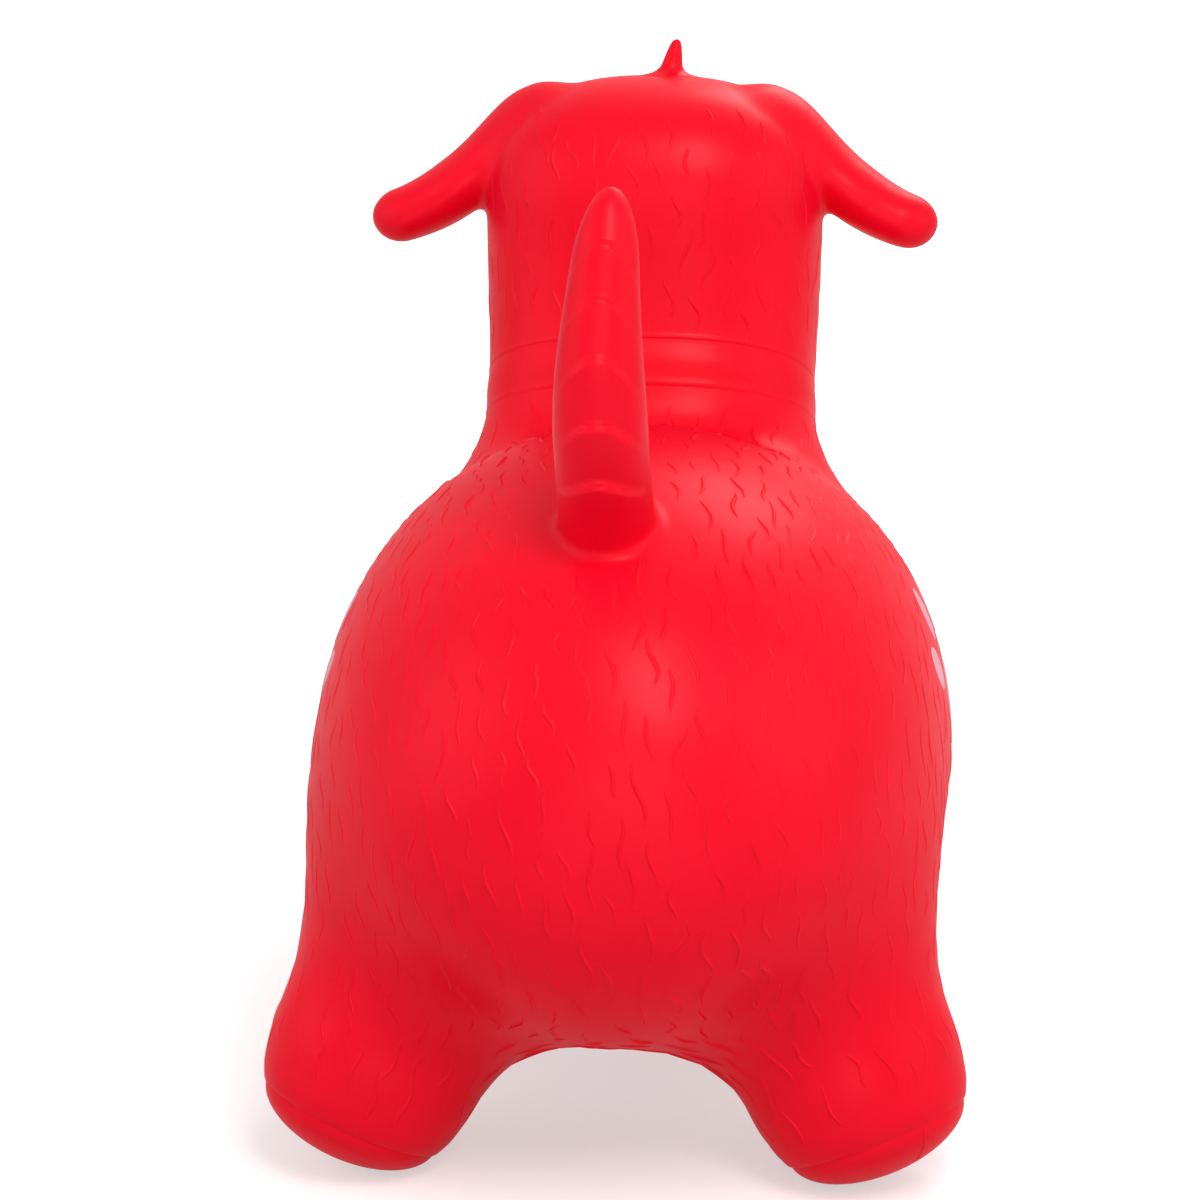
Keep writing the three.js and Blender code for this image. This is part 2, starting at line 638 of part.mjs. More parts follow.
for (const [side, hand] of HANDS) {
  const earShell = earForm(hand, 0).subtract(earForm(hand, -WALL)).subtract(headClear);
  addPiece(`ear_root_${side}`, earShell.subtract(earZone(hand, GAP)), RED_VINYL);
  addPiece(`ear_${side}`, earShell.intersect(earZone(hand, 0)), RED_VINYL);
  addPiece(`eye_white_${side}`, eyeWhite(hand), WHITE_INK);
  addPiece(`eye_pupil_${side}`, eyePupil(hand), BLACK_INK);
  addPiece(`paw_pad_${side}`, pawPad(hand), PINK_INK);
  for (let i = 0; i < TOE_COUNT; i++) {
    addPiece(`paw_toe_${side}_${i + 1}`, pawToe(hand, i), PINK_INK);
  }
  for (const [where, end] of ENDS) {
    const legShell = legForm(hand, end, 0, 0).subtract(legHollow(hand, end));
    addPiece(`leg_${where}_${side}`, legShell.subtract(torsoClear), RED_VINYL);
    addPiece(`foot_${where}_${side}`, foot(hand, end), RED_VINYL);
  }
}

const tailShell = tailForm(0).subtract(tailForm(-WALL)).subtract(torsoClear);
addPiece('tail_root', tailShell.subtract(tailZone(GAP)), RED_VINYL);
addPiece('tail', tailShell.intersect(tailZone(0)), RED_VINYL);

addPiece('valve_seat', valveSeat(), RED_VINYL);
addPiece('valve_plug', valvePlug(), PLUG_VINYL);

// The middle of the whole length comes to y = 0
const whole = new THREE.Box3().setFromObject(hopper);
hopper.position.y = -(whole.min.y + whole.max.y) / 2;

export default hopper;
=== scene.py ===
"""Looks of an inflatable hopping dog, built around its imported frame.

The skin is one surface of rounded forms that run into each other. Sizes and places on the dog are in
millimetres in the frame's own axes: it faces +Y, +X is its right side and it stands on z = 0. The
camera, the lamps and the floor are in metres.
"""

import math

import bpy
import numpy as np
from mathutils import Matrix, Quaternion, Vector


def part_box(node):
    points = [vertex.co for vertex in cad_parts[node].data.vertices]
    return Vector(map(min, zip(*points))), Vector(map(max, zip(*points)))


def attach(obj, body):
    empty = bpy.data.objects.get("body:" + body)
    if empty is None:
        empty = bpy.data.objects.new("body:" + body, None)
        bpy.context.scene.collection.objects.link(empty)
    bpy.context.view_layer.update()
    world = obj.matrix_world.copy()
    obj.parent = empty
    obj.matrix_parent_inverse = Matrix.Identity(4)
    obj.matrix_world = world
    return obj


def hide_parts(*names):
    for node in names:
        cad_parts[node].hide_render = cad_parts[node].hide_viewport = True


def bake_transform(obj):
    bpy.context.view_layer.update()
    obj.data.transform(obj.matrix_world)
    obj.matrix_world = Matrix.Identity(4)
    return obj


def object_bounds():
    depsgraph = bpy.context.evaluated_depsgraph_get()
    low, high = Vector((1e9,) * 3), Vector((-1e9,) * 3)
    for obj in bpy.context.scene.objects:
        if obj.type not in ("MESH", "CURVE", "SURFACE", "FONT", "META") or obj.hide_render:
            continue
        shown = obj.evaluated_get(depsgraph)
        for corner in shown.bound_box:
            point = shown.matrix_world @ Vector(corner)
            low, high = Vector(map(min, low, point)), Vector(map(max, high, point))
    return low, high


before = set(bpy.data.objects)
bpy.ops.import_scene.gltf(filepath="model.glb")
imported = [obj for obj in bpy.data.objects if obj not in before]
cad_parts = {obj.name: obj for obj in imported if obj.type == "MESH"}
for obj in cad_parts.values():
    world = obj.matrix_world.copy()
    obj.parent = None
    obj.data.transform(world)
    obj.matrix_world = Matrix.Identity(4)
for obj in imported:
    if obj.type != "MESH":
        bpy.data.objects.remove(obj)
cad_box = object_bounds()

MM = 0.001
BODY = "hopper_body"
HANDS = {"left": -1, "right": 1}
ENDS = {"rear": -1, "front": 1}


def node_box(node):
    """Lowest and highest corner of a CAD node, in millimetres."""
    return [np.array(corner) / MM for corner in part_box(node)]


def unit(vector):
    return vector / np.linalg.norm(vector, axis=-1, keepdims=True)


def smoothstep(value, low=0.0, high=1.0):
    share = np.clip((value - low) / (high - low), 0, 1)
    return share * share * (3 - 2 * share)


def mix(a, b, share):
    return a + (b - a) * share


# Torso
torso_low, torso_high = node_box("torso")
RUMP_LENGTH = 222
CHEST_LENGTH = 178
AXIS_HEIGHT = 165
BACK_RISE = 147
BELLY_DROP = 120
BARREL_POWER = 2.3
CHEST_TAPER = 0.06
SADDLE_DIP = 15
SADDLE_PLACE = 44
SADDLE_SPREAD = 40
SADDLE_HALF_WIDTH = 85
BARREL_ASIDE = 2.5
half_body = torso_high[0]
middle_y = torso_low[1] + RUMP_LENGTH

# Neck and head
NECK_PLACE = 125
NECK_LEAN = math.radians(22)
NECK_HALVES = (78.5, 73)
NECK_SINK = 90
COLLAR_RISE = 18
HEAD_HALVES = (81, 76)
HEAD_FORWARD = 19
SKULL_RISE = 95
DOME_RISE = 61
HEAD_POWER = 2.5
MUZZLE_HALVES = (54, 70, 39)
MUZZLE_DROP = 36

# Ears and tail: the ear's line from the skull's middle (out, up), and the tail's line from its foot on
# the back (aside, forward, up)
EAR_LINE = [[53, 38], [61, 34], [82, 18], [101, 4], [117, -4], [135, -9]]
EAR_HALF_THICK = (20, 14.5, 12.5)
EAR_HALF_BREADTH = (28, 25, 15)
EAR_SETBACK = 4
EAR_SWEEP = 14
EAR_TIP_LENGTH = 14
EAR_SLIM = 0.5
TAIL_INSET = 74
TAIL_LINE = [
    [-2, 26, -7], [-2, 0, 21], [-2.3, -17, 47], [-2.4, -23, 74], [-1.4, -19, 105], [1, -8, 145],
]
TAIL_HALF_THICK = (20, 19, 12)
TAIL_TIP_LENGTH = 30
TAIL_SLIM = 0.4
LOCK_FIRST = 64
LOCK_STEP = 21
LOCK_DEPTH = (3.4, 2)
LOCK_POWER = 1.6
LOCK_EDGE = 0.2
LOCK_ARC = 15
LINE_STEPS = 96
LINE_FINENESS = 8

# Legs: radius and height along the leg above the foot's ridge
LEG_LINE = [[40, 0], [44.5, 8], [47.5, 22], [49, 45], [52, 75], [54, 105], [54, 125]]
STANCE = {"rear": 226, "front": 188}
FOOT_PLACE = {"rear": -117, "front": 80}
LEG_LEAN_OUT = math.radians(24)
LEG_LEAN_APART = math.radians(14)
FOOT_DEPTH = 20
SOLE_FLAT = 1.2

# How widely each form runs into the skin
NECK_FILLET = (20, 36)
NECK_FILLET_PLACE = (25, 75)
LEG_FILLET = 40
MUZZLE_FILLET = 26
EAR_FILLET = 8
TAIL_FILLET = 7

# Skin mesh
GRID_PITCH = 4
GRID_MARGIN = 12
SLOPE_STEP = 0.4
LEAST_SLOPE = 1e-6
COLUMN_ROUNDS = 6
RELAX_ROUNDS = 4
SKIN_ROUNDS = 3
REFINE_ROUNDS = 2
RAY_ROUNDS = 16


def torso_share(y):
    """Share of the barrel's full size that is left at a place along it."""
    reach = abs(y) / (CHEST_LENGTH if y > 0 else RUMP_LENGTH)
    return (1 - reach**BARREL_POWER) ** (1 / BARREL_POWER)


def torso_level(p):
    y = p[:, 1] - middle_y
    share = y / np.where(y > 0, CHEST_LENGTH, RUMP_LENGTH)
    chest = 1 - CHEST_TAPER * np.clip(share, 0, 1) ** 2
    along = ((y - SADDLE_PLACE) / SADDLE_SPREAD) ** 2
    aside = (p[:, 0] / SADDLE_HALF_WIDTH) ** 2
    dip = SADDLE_DIP * np.exp(-along - aside)
    z = p[:, 2] - AXIS_HEIGHT
    half_height = np.where(z > 0, BACK_RISE - dip, BELLY_DROP)
    radius = np.hypot((p[:, 0] - BARREL_ASIDE) / (half_body * chest), z / half_height)
    return (np.abs(share) ** BARREL_POWER + radius**BARREL_POWER) ** (1 / BARREL_POWER)


neck_foot = AXIS_HEIGHT + BACK_RISE * torso_share(NECK_PLACE)
collar = np.array([0, middle_y + NECK_PLACE, neck_foot + COLLAR_RISE])
neck_way = np.array([0, math.sin(NECK_LEAN), math.cos(NECK_LEAN)])
skull = collar + [0, HEAD_FORWARD, SKULL_RISE]
muzzle = skull + [0, HEAD_HALVES[1], -MUZZLE_DROP]


def neck_forward(share):
    """How far the column has come forwards, leaving along the neck and ending upright."""
    leaving = share * (1 - share) ** 2 * SKULL_RISE * math.tan(NECK_LEAN)
    return leaving + smoothstep(share) * HEAD_FORWARD


def column_place(p):
    """Share of the way from the collar to the skull, and the place forwards of the column's middle."""
    share = (p[:, 2] - collar[2]) / SKULL_RISE
    for _ in range(COLUMN_ROUNDS):
        part = np.clip(share, 0, 1)
        lean = NECK_LEAN * (1 - smoothstep(part))
        below = np.minimum(share, 0) * SKULL_RISE
        above = np.maximum(share - 1, 0) * SKULL_RISE
        y = p[:, 1] - (collar[1] + neck_forward(part) + below * neck_way[1])
        z = p[:, 2] - (collar[2] + part * SKULL_RISE + below * neck_way[2] + above)
        share = share + (y * np.sin(lean) + z * np.cos(lean)) / SKULL_RISE
    return share, y * np.cos(lean) - z * np.sin(lean)


def column_level(p):
    share, forward = column_place(p)
    swell = smoothstep(share)
    sides = np.abs(p[:, 0]) / mix(NECK_HALVES[0], HEAD_HALVES[0], swell)
    depths = np.abs(forward) / mix(NECK_HALVES[1], HEAD_HALVES[1], swell)
    rise = np.maximum(share - 1, 0) * SKULL_RISE / DOME_RISE
    return (sides**HEAD_POWER + depths**HEAD_POWER + rise**HEAD_POWER) ** (1 / HEAD_POWER)


def muzzle_level(p):
    x, y, z = ((p - muzzle) / MUZZLE_HALVES).T
    return (np.abs(y) ** HEAD_POWER + np.hypot(x, z) ** HEAD_POWER) ** (1 / HEAD_POWER)


def smooth_line(points, steps):
    """A smooth line through the points, cut into equal steps."""
    points = np.array(points, float)
    ends = np.vstack([2 * points[0] - points[1], points, 2 * points[-1] - points[-2]])
    share = np.linspace(0, len(points) - 1, LINE_FINENESS * steps)
    index = np.minimum(share.astype(int), len(points) - 2)
    t = (share - index)[:, None]
    a, b, c, d = (ends[index + k] for k in range(4))
    fine = b + 0.5 * t * (c - a + t * (2 * a - 5 * b + 4 * c - d + t * (3 * b - a - 3 * c + d)))
    run = np.append(0, np.cumsum(np.linalg.norm(np.diff(fine, axis=0), axis=1)))
    even = np.linspace(0, run[-1], steps + 1)
    return np.stack([np.interp(even, run, fine[:, k]) for k in range(3)], axis=1)


def limb_place(p, line, side):
    """Station on a limb's line, the line's length, and places across it, outwards and short of it."""
    ways = np.diff(line, axis=0)
    step = np.linalg.norm(ways[0])
    ways = unit(ways)
    offset = p[:, None, :] - line[None, :-1]
    run = np.einsum("nmk,mk->nm", offset, ways)
    longest = np.full(len(ways), step)
    longest[-1] = np.inf
    held = np.clip(run, 0, longest)
    gaps = np.einsum("nmk,nmk->nm", offset, offset) - 2 * held * run + held * held
    nearest = gaps.argmin(axis=1)
    rows = np.arange(len(p))
    held = held[rows, nearest]
    turned = unit(np.vstack([ways[:1], ways[:-1] + ways[1:], ways[-1:]]))
    bend = np.clip(held / step, 0, 1)[:, None]
    tangent = unit(mix(turned[nearest], turned[nearest + 1], bend))
    away = offset[rows, nearest] - held[:, None] * ways[nearest]
    outward = unit(np.cross(tangent, side))
    outwards = np.einsum("nk,nk->n", away, outward)
    short = np.where(nearest == 0, np.minimum(run[:, 0], 0), 0)
    return nearest * step + held, step * len(ways), away @ side, outwards, short


def half_thick(share, thicknesses, slim):
    root, middle, tip = thicknesses
    return mix(mix(root, middle, smoothstep(share, 0, slim)), tip, smoothstep(share, slim, 1))


def tip_level(station, length, tip_length):
    return np.maximum(0, station - length + tip_length) / tip_length


def ear_line(hand):
    last = len(EAR_LINE) - 1
    sweep = [EAR_SETBACK + EAR_SWEEP * (i / last) ** 2 for i in range(last + 1)]
    points = [skull + [hand * out, -back, rise] for (out, rise), back in zip(EAR_LINE, sweep)]
    return smooth_line(points, LINE_STEPS)


ear_lines = {hand: ear_line(hand) for hand in HANDS.values()}


def ear_level(p, hand):
    station, length, across, outward, short = limb_place(p, ear_lines[hand], np.array([0, 1, 0]))
    share = station / length
    thick = half_thick(share, EAR_HALF_THICK, EAR_SLIM)
    breadth = half_thick(share, EAR_HALF_BREADTH, EAR_SLIM)
    tip = tip_level(station, length, EAR_TIP_LENGTH)
    return np.sqrt((across / breadth) ** 2 + (outward / thick) ** 2 + (short / thick) ** 2 + tip**2)


tail_y = TAIL_INSET - RUMP_LENGTH
tail_foot = np.array([0, middle_y + tail_y, AXIS_HEIGHT + BACK_RISE * torso_share(tail_y)])
tail_line = smooth_line([tail_foot + place for place in np.array(TAIL_LINE)], LINE_STEPS)


def tail_level(p):
    """The tail, with locks on its rear face that each end in an arched step."""
    station, length, across, outward, short = limb_place(p, tail_line, np.array([1, 0, 0]))
    thick = half_thick(station / length, TAIL_HALF_THICK, TAIL_SLIM)
    aside = np.clip(across / thick, -1, 1) ** 2
    lock = (station + LOCK_ARC * aside - LOCK_FIRST) / LOCK_STEP
    first = np.maximum(1 + lock * LOCK_STEP / LOCK_FIRST, 0)
    part = np.where(lock < 0, first, lock - np.floor(lock))
    edge = np.where(lock < 0, -lock, 1 - part)
    rear = np.clip(-outward / thick, 0, 1)
    depth = mix(*LOCK_DEPTH, station / length)
    deep = thick + depth * part**LOCK_POWER * smoothstep(edge, 0, LOCK_EDGE) * rear
    tip = tip_level(station, length, TAIL_TIP_LENGTH)
    return np.sqrt((across / thick) ** 2 + (outward / deep) ** 2 + (short / thick) ** 2 + tip**2)


def leg_way(hand, end):
    return unit(np.array([-hand * math.tan(LEG_LEAN_OUT), -ENDS[end] * math.tan(LEG_LEAN_APART), 1]))


def ridge_place(hand, end):
    """Middle of the ridge round a foot."""
    rise = leg_way(hand, end)[2]
    foot_radius = LEG_LINE[0][0]
    droop = math.hypot(foot_radius * math.sqrt(1 - rise * rise), FOOT_DEPTH * rise)
    return np.array([hand * STANCE[end] / 2, middle_y + FOOT_PLACE[end], droop - SOLE_FLAT])


leg_outline = smooth_line([[radius, height, 0] for radius, height in LEG_LINE], LINE_STEPS)


def leg_level(p, hand, end):
    way = leg_way(hand, end)
    offset = p - ridge_place(hand, end)
    height = offset @ way
    radius = np.linalg.norm(offset - height[:, None] * way, axis=1)
    upper = radius / np.interp(height, leg_outline[:, 1], leg_outline[:, 0])
    lower = np.hypot(radius / LEG_LINE[0][0], height / FOOT_DEPTH)
    return np.where(height > 0, upper, lower)


def gradient_of(level, p, value):
    ways = SLOPE_STEP * np.eye(3)
    return np.stack([(level(p + way) - value) / SLOPE_STEP for way in ways], axis=1)


def distance(level, p):
    """Near distance to the surface where a level is 1, and the way straight out from it."""
    value = level(p)
    gradient = gradient_of(level, p, value)
    steepness = np.maximum(np.linalg.norm(gradient, axis=1), LEAST_SLOPE)
    return (value - 1) / steepness, gradient / steepness[:, None]


def cut_by(found, plane, way):
    """A form's distance and way out, with what lies beyond a plane cut off."""
    beyond = plane > found[0]
    return np.where(beyond, plane, found[0]), np.where(beyond[:, None], way, found[1])


def smooth_union(a, b, fillet):
    share = np.clip(0.5 + 0.5 * (b[0] - a[0]) / fillet, 0, 1)
    together = mix(b[0], a[0], share) - fillet * share * (1 - share)
    return together, mix(b[1], a[1], share[:, None])


def column(p):
    share, _ = column_place(p)
    return cut_by(distance(column_level, p), -share * SKULL_RISE - NECK_SINK, -neck_way)


def leg(p, hand, end):
    way = leg_way(hand, end)
    height = (p - ridge_place(hand, end)) @ way
    found = distance(lambda q: leg_level(q, hand, end), p)
    return cut_by(found, height - LEG_LINE[-1][1], way)


def ear(p, hand):
    return distance(lambda q: ear_level(q, hand), p)


def neck_fillet(p):
    """The neck's fillet: tight behind it and wide at its sides."""
    return mix(*NECK_FILLET, smoothstep(np.abs(p[:, 0]), *NECK_FILLET_PLACE))


def forms():
    """What joins the torso: a form, points along it, how far it counts from them, and its fillet."""
    neck_line = [collar - NECK_SINK * neck_way, skull + [0, 0, DOME_RISE]]
    yield column, neck_line, max(HEAD_HALVES) + max(NECK_FILLET), neck_fillet
    muzzle_reach = max(MUZZLE_HALVES) + MUZZLE_FILLET
    yield lambda p: distance(muzzle_level, p), [muzzle], muzzle_reach, MUZZLE_FILLET
    for hand in HANDS.values():
        for end in ENDS:
            ridge, way = ridge_place(hand, end), leg_way(hand, end)
            leg_ends = [ridge - FOOT_DEPTH * way, ridge + LEG_LINE[-1][1] * way]
            leg_reach = LEG_LINE[-1][0] + LEG_FILLET
            yield lambda p: leg(p, hand, end), leg_ends, leg_reach, LEG_FILLET
        ear_reach = EAR_HALF_BREADTH[0] + EAR_FILLET
        yield lambda p: ear(p, hand), ear_lines[hand], ear_reach, EAR_FILLET
    tail_reach = TAIL_HALF_THICK[0] + LOCK_DEPTH[0] + TAIL_FILLET
    yield lambda p: distance(tail_level, p), tail_line, tail_reach, TAIL_FILLET


def skin(p):
    """Distance from the dog's skin, negative inside, and the way straight out from it."""
    d, out = distance(torso_level, p)
    for form, line, reach, fillet in forms():
        low = np.min(line, axis=0) - reach
        high = np.max(line, axis=0) + reach
        near = np.all((p > low) & (p < high), axis=1)
        if near.any():
            width = fillet(p[near]) if callable(fillet) else fillet
            d[near], out[near] = smooth_union((d[near], out[near]), form(p[near]), width)
    return cut_by((d, out), -p[:, 2], np.array([0, 0, -1]))


def skin_normals(p):
    return unit(skin(p)[1])


def on_skin(p, rounds=SKIN_ROUNDS):
    """The points, drawn onto the skin along its normals."""
    for _ in range(rounds):
        d, out = skin(p)
        p = p - d[:, None] * unit(out)
    return p


def along_rays(p, ways):
    """The points, moved along directions that lead into the skin until they meet it."""
    for _ in range(RAY_ROUNDS):
        p = p + skin(p)[0][:, None] * ways
    return p


# Mesh of the skin
def surface_net(values, origin, pitch):
    """Quads over the zero level of values on a grid, with one vertex in each cell that it crosses."""
    inside = values < 0
    cells = tuple(n - 1 for n in values.shape)
    offsets = [(i, j, k) for i in (0, 1) for j in (0, 1) for k in (0, 1)]
    views = [tuple(slice(o, o + n) for o, n in zip(offset, cells)) for offset in offsets]
    count = sum(inside[view].astype(np.int8) for view in views)
    crossed = (count > 0) & (count < len(offsets))
    index = np.full(cells, -1)
    index[crossed] = np.arange(crossed.sum())
    corners = np.stack([values[view][crossed] for view in views], axis=1)
    total = np.zeros((len(corners), 3))
    weight = np.zeros((len(corners), 1))
    for a in range(len(offsets)):
        for axis in range(3):
            if offsets[a][axis]:
                continue
            b = a + (4, 2, 1)[axis]  # the corner one step along the axis
            cut = (corners[:, a] < 0) != (corners[:, b] < 0)
            share = corners[cut, a] / (corners[cut, a] - corners[cut, b])
            total[cut] += np.array(offsets[a]) + share[:, None] * np.eye(3)[axis]
            weight[cut] += 1
    points = origin + pitch * (np.argwhere(crossed) + total / weight)
    quads = []
    for axis in range(3):
        b, c = (axis + 1) % 3, (axis + 2) % 3
        low = np.moveaxis(inside, axis, 0)[:-1]
        high = np.moveaxis(inside, axis, 0)[1:]
        edges = np.argwhere(np.moveaxis(low != high, 0, axis))
        outward = inside[tuple(edges.T)]
        ring = []
        for step_b, step_c in ((-1, -1), (0, -1), (0, 0), (-1, 0)):
            cell = edges.copy()
            cell[:, b] += step_b
            cell[:, c] += step_c
            ring.append(index[tuple(cell.T)])
        ring = np.stack(ring, axis=1)
        quads.append(np.where(outward[:, None], ring, ring[:, ::-1]))
    return points, np.vstack(quads)


def relaxed(points, quads):
    """Each point halfway to the middle of its neighbours."""
    starts = quads.ravel()
    ends = np.roll(quads, -1, axis=1).ravel()
    counts = np.bincount(starts, minlength=len(points))
    sums = [np.bincount(starts, points[ends, k], len(points)) for k in range(3)]
    return mix(points, np.stack(sums, axis=1) / counts[:, None], 0.5)


def subdivided(points, quads):
    """Each quad cut in four."""
    ends = np.roll(quads, -1, axis=1)
    keys = np.minimum(quads, ends) * len(points) + np.maximum(quads, ends)
    edges, where = np.unique(keys.ravel(), return_inverse=True)
    middles = (points[edges // len(points)] + points[edges % len(points)]) / 2
    mids = len(points) + where.reshape(-1, 4)
    hubs = len(points) + len(edges) + np.arange(len(quads))
    parts = [np.stack([quads[:, k], mids[:, k], hubs, mids[:, k - 1]], axis=1) for k in range(4)]
    return np.vstack([points, middles, points[quads].mean(axis=1)]), np.vstack(parts)


def skin_mesh():
    low = np.array(cad_box[0]) / MM - GRID_MARGIN
    high = np.array(cad_box[1]) / MM + GRID_MARGIN
    axes = [np.arange(a, b, GRID_PITCH) for a, b in zip(low, high)]
    grid = np.stack(np.meshgrid(*axes, indexing="ij"), axis=-1)
    values = skin(grid.reshape(-1, 3))[0].reshape(grid.shape[:3])
    points, quads = surface_net(values, low, GRID_PITCH)
    for _ in range(RELAX_ROUNDS):
        points = on_skin(relaxed(points, quads), 1)
    points, quads = subdivided(on_skin(points), quads)
    return on_skin(points), quads


def part_of(points, quads, chosen):
    """The chosen quads with their own points, and the rim of edges that only one of them has."""
    used, quads = np.unique(quads[chosen], return_inverse=True)
    quads = quads.reshape(-1, 4)
    ends = np.roll(quads, -1, axis=1)
    keys = set((quads * len(used) + ends).ravel().tolist())
    back = (ends * len(used) + quads).ravel()
    open_edges = np.array([key not in keys for key in back.tolist()])
    rim = np.stack([quads.ravel(), ends.ravel()], axis=1)[open_edges]
    return points[used], quads, rim


def rims_closed(points, normals, quads, rim, sink):
    """The points, normals and faces, with a cap over each rim, so that each piece is a closed body."""
    faces = quads.tolist()
    following = dict(rim.tolist())
    while following:
        start, node = following.popitem()
        loop = [start]
        while node != start:
            loop.append(node)
            node = following.pop(node)
        hub = len(points)
        middle = points[loop].mean(axis=0)
        points = np.vstack([points, middle + sink(middle)])
        normals = np.vstack([normals, unit(sink(middle))])
        faces += [[b, a, hub] for a, b in zip(loop, loop[1:] + loop[:1])]
    return points, normals, faces


# Pieces
def piece(name, points, faces, normals, material, nodes=(), body=BODY):
    """A smooth closed mesh that stands for CAD nodes, and follows a body if one is given."""
    mesh = bpy.data.meshes.new(name)
    mesh.from_pydata((np.asarray(points) * MM).tolist(), [], faces)
    mesh.polygons.foreach_set("use_smooth", np.ones(len(mesh.polygons), bool))
    if normals is not None:
        mesh.normals_split_custom_set_from_vertices(normals.tolist())
    mesh.materials.append(material)
    made = bpy.data.objects.new(name, mesh)
    bpy.context.scene.collection.objects.link(made)
    if body:
        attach(made, body)
    if nodes:
        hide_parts(*nodes)
    return made


# Materials
CLOUD_SCALE = 14
CLOUD_DETAIL = 4
CLOUD_ROUGHNESS = 0.55
TINT_STOPS = (0.3, 0.62)
PATCH_SCALE = 55
PATCH_DETAIL = 3
PATCH_RANGE = (0.3, 0.7)
GLOSS_SPREAD = (-0.05, 0.06)
PORE_SCALE = 900
PORE_DETAIL = 2
PORE_STRENGTH = 0.05
PORE_DEPTH = 0.0006
PLAIN_SHINE = 0.5
NO_SATIN = (0, 0)


def node_of(material, kind, **values):
    made = material.node_tree.nodes.new(kind)
    for name, value in values.items():
        made.inputs[name.replace("_", " ")].default_value = value
    return made


def vinyl(name, colour, deep, roughness, shine=PLAIN_SHINE, satin=NO_SATIN):
    """Soft vinyl: faint clouds of a deeper colour, uneven gloss, fine pores and a satin coat."""
    material = bpy.data.materials.new(name)
    material.use_nodes = True
    link = material.node_tree.links.new
    shader = material.node_tree.nodes["Principled BSDF"]
    shader.inputs["Specular IOR Level"].default_value = shine
    shader.inputs["Coat Weight"].default_value = satin[0]
    shader.inputs["Coat Roughness"].default_value = satin[1]
    place = material.node_tree.nodes.new("ShaderNodeTexCoord")
    clouds = node_of(material, "ShaderNodeTexNoise", Scale=CLOUD_SCALE, Detail=CLOUD_DETAIL)
    clouds.inputs["Roughness"].default_value = CLOUD_ROUGHNESS
    patches = node_of(material, "ShaderNodeTexNoise", Scale=PATCH_SCALE, Detail=PATCH_DETAIL)
    pores = node_of(material, "ShaderNodeTexNoise", Scale=PORE_SCALE, Detail=PORE_DETAIL)
    for texture in (clouds, patches, pores):
        link(place.outputs["Object"], texture.inputs["Vector"])
    tint = material.node_tree.nodes.new("ShaderNodeValToRGB")
    for stop, position, shade in zip(tint.color_ramp.elements, TINT_STOPS, (deep, colour)):
        stop.position = position
        stop.color = (*shade, 1)
    link(clouds.outputs["Fac"], tint.inputs["Fac"])
    link(tint.outputs["Color"], shader.inputs["Base Color"])
    gloss = node_of(material, "ShaderNodeMapRange", From_Min=PATCH_RANGE[0], From_Max=PATCH_RANGE[1])
    gloss.inputs["To Min"].default_value = roughness + GLOSS_SPREAD[0]
    gloss.inputs["To Max"].default_value = roughness + GLOSS_SPREAD[1]
    link(patches.outputs["Fac"], gloss.inputs["Value"])
    link(gloss.outputs["Result"], shader.inputs["Roughness"])
    bump = node_of(material, "ShaderNodeBump", Strength=PORE_STRENGTH, Distance=PORE_DEPTH)
    link(pores.outputs["Fac"], bump.inputs["Height"])
    link(bump.outputs["Normal"], shader.inputs["Normal"])
    return material


RED, DEEP_RED = (0.86, 0.002, 0.018), (0.80, 0.001, 0.015)
BLACK, DEEP_BLACK = (0.02, 0.018, 0.019), (0.012, 0.011, 0.012)
CREAM, DEEP_CREAM = (0.82, 0.81, 0.78), (0.76, 0.75, 0.71)
PINK, DEEP_PINK = (0.78, 0.36, 0.43), (0.72, 0.31, 0.38)
WHITE, DEEP_WHITE = (0.88, 0.86, 0.83), (0.83, 0.81, 0.78)
INK_BLACK, DEEP_INK_BLACK = (0.016, 0.015, 0.016), (0.010, 0.009, 0.010)
SATIN = (0.2, 0.36)
red_vinyl = vinyl("red_vinyl", RED, DEEP_RED, roughness=0.55, shine=0.01, satin=SATIN)
black_vinyl = vinyl("black_vinyl", BLACK, DEEP_BLACK, roughness=0.28, shine=0.3)
plug_vinyl = vinyl("plug_vinyl", CREAM, DEEP_CREAM, roughness=0.4)
pink_ink = vinyl("pink_ink", PINK, DEEP_PINK, roughness=0.55, shine=0.1)
white_ink = vinyl("white_ink", WHITE, DEEP_WHITE, roughness=0.4)
black_ink = vinyl("black_ink", INK_BLACK, DEEP_INK_BLACK, roughness=0.4, shine=0.15)

# Skin in four pieces: the body, and the ears and the tail, which are parts of the dog that bend
EAR_CUT = 84
EAR_CUT_HEIGHT = 345
TAIL_CUT = 303
TAIL_CUT_FRONT = -150
CAP_SINK = 1.0

skin_points, skin_quads = skin_mesh()
centres = skin_points[skin_quads].mean(axis=1)
is_tail = (centres[:, 2] > TAIL_CUT) & (centres[:, 1] < TAIL_CUT_FRONT)
is_ear = {
    hand: (hand * centres[:, 0] > EAR_CUT) & (centres[:, 2] > EAR_CUT_HEIGHT) for hand in HANDS.values()
}
is_body = ~(is_tail | is_ear[-1] | is_ear[1])


def into_body(middle):
    """The way that the body's caps are drawn in."""
    if abs(middle[0]) > EAR_CUT / 2:
        return np.array([-np.sign(middle[0]) * CAP_SINK, 0, 0])
    return np.array([0, 0, -CAP_SINK])


def out_of_body(middle):
    """The way that the caps of the ears and of the tail are drawn in."""
    return -into_body(middle)


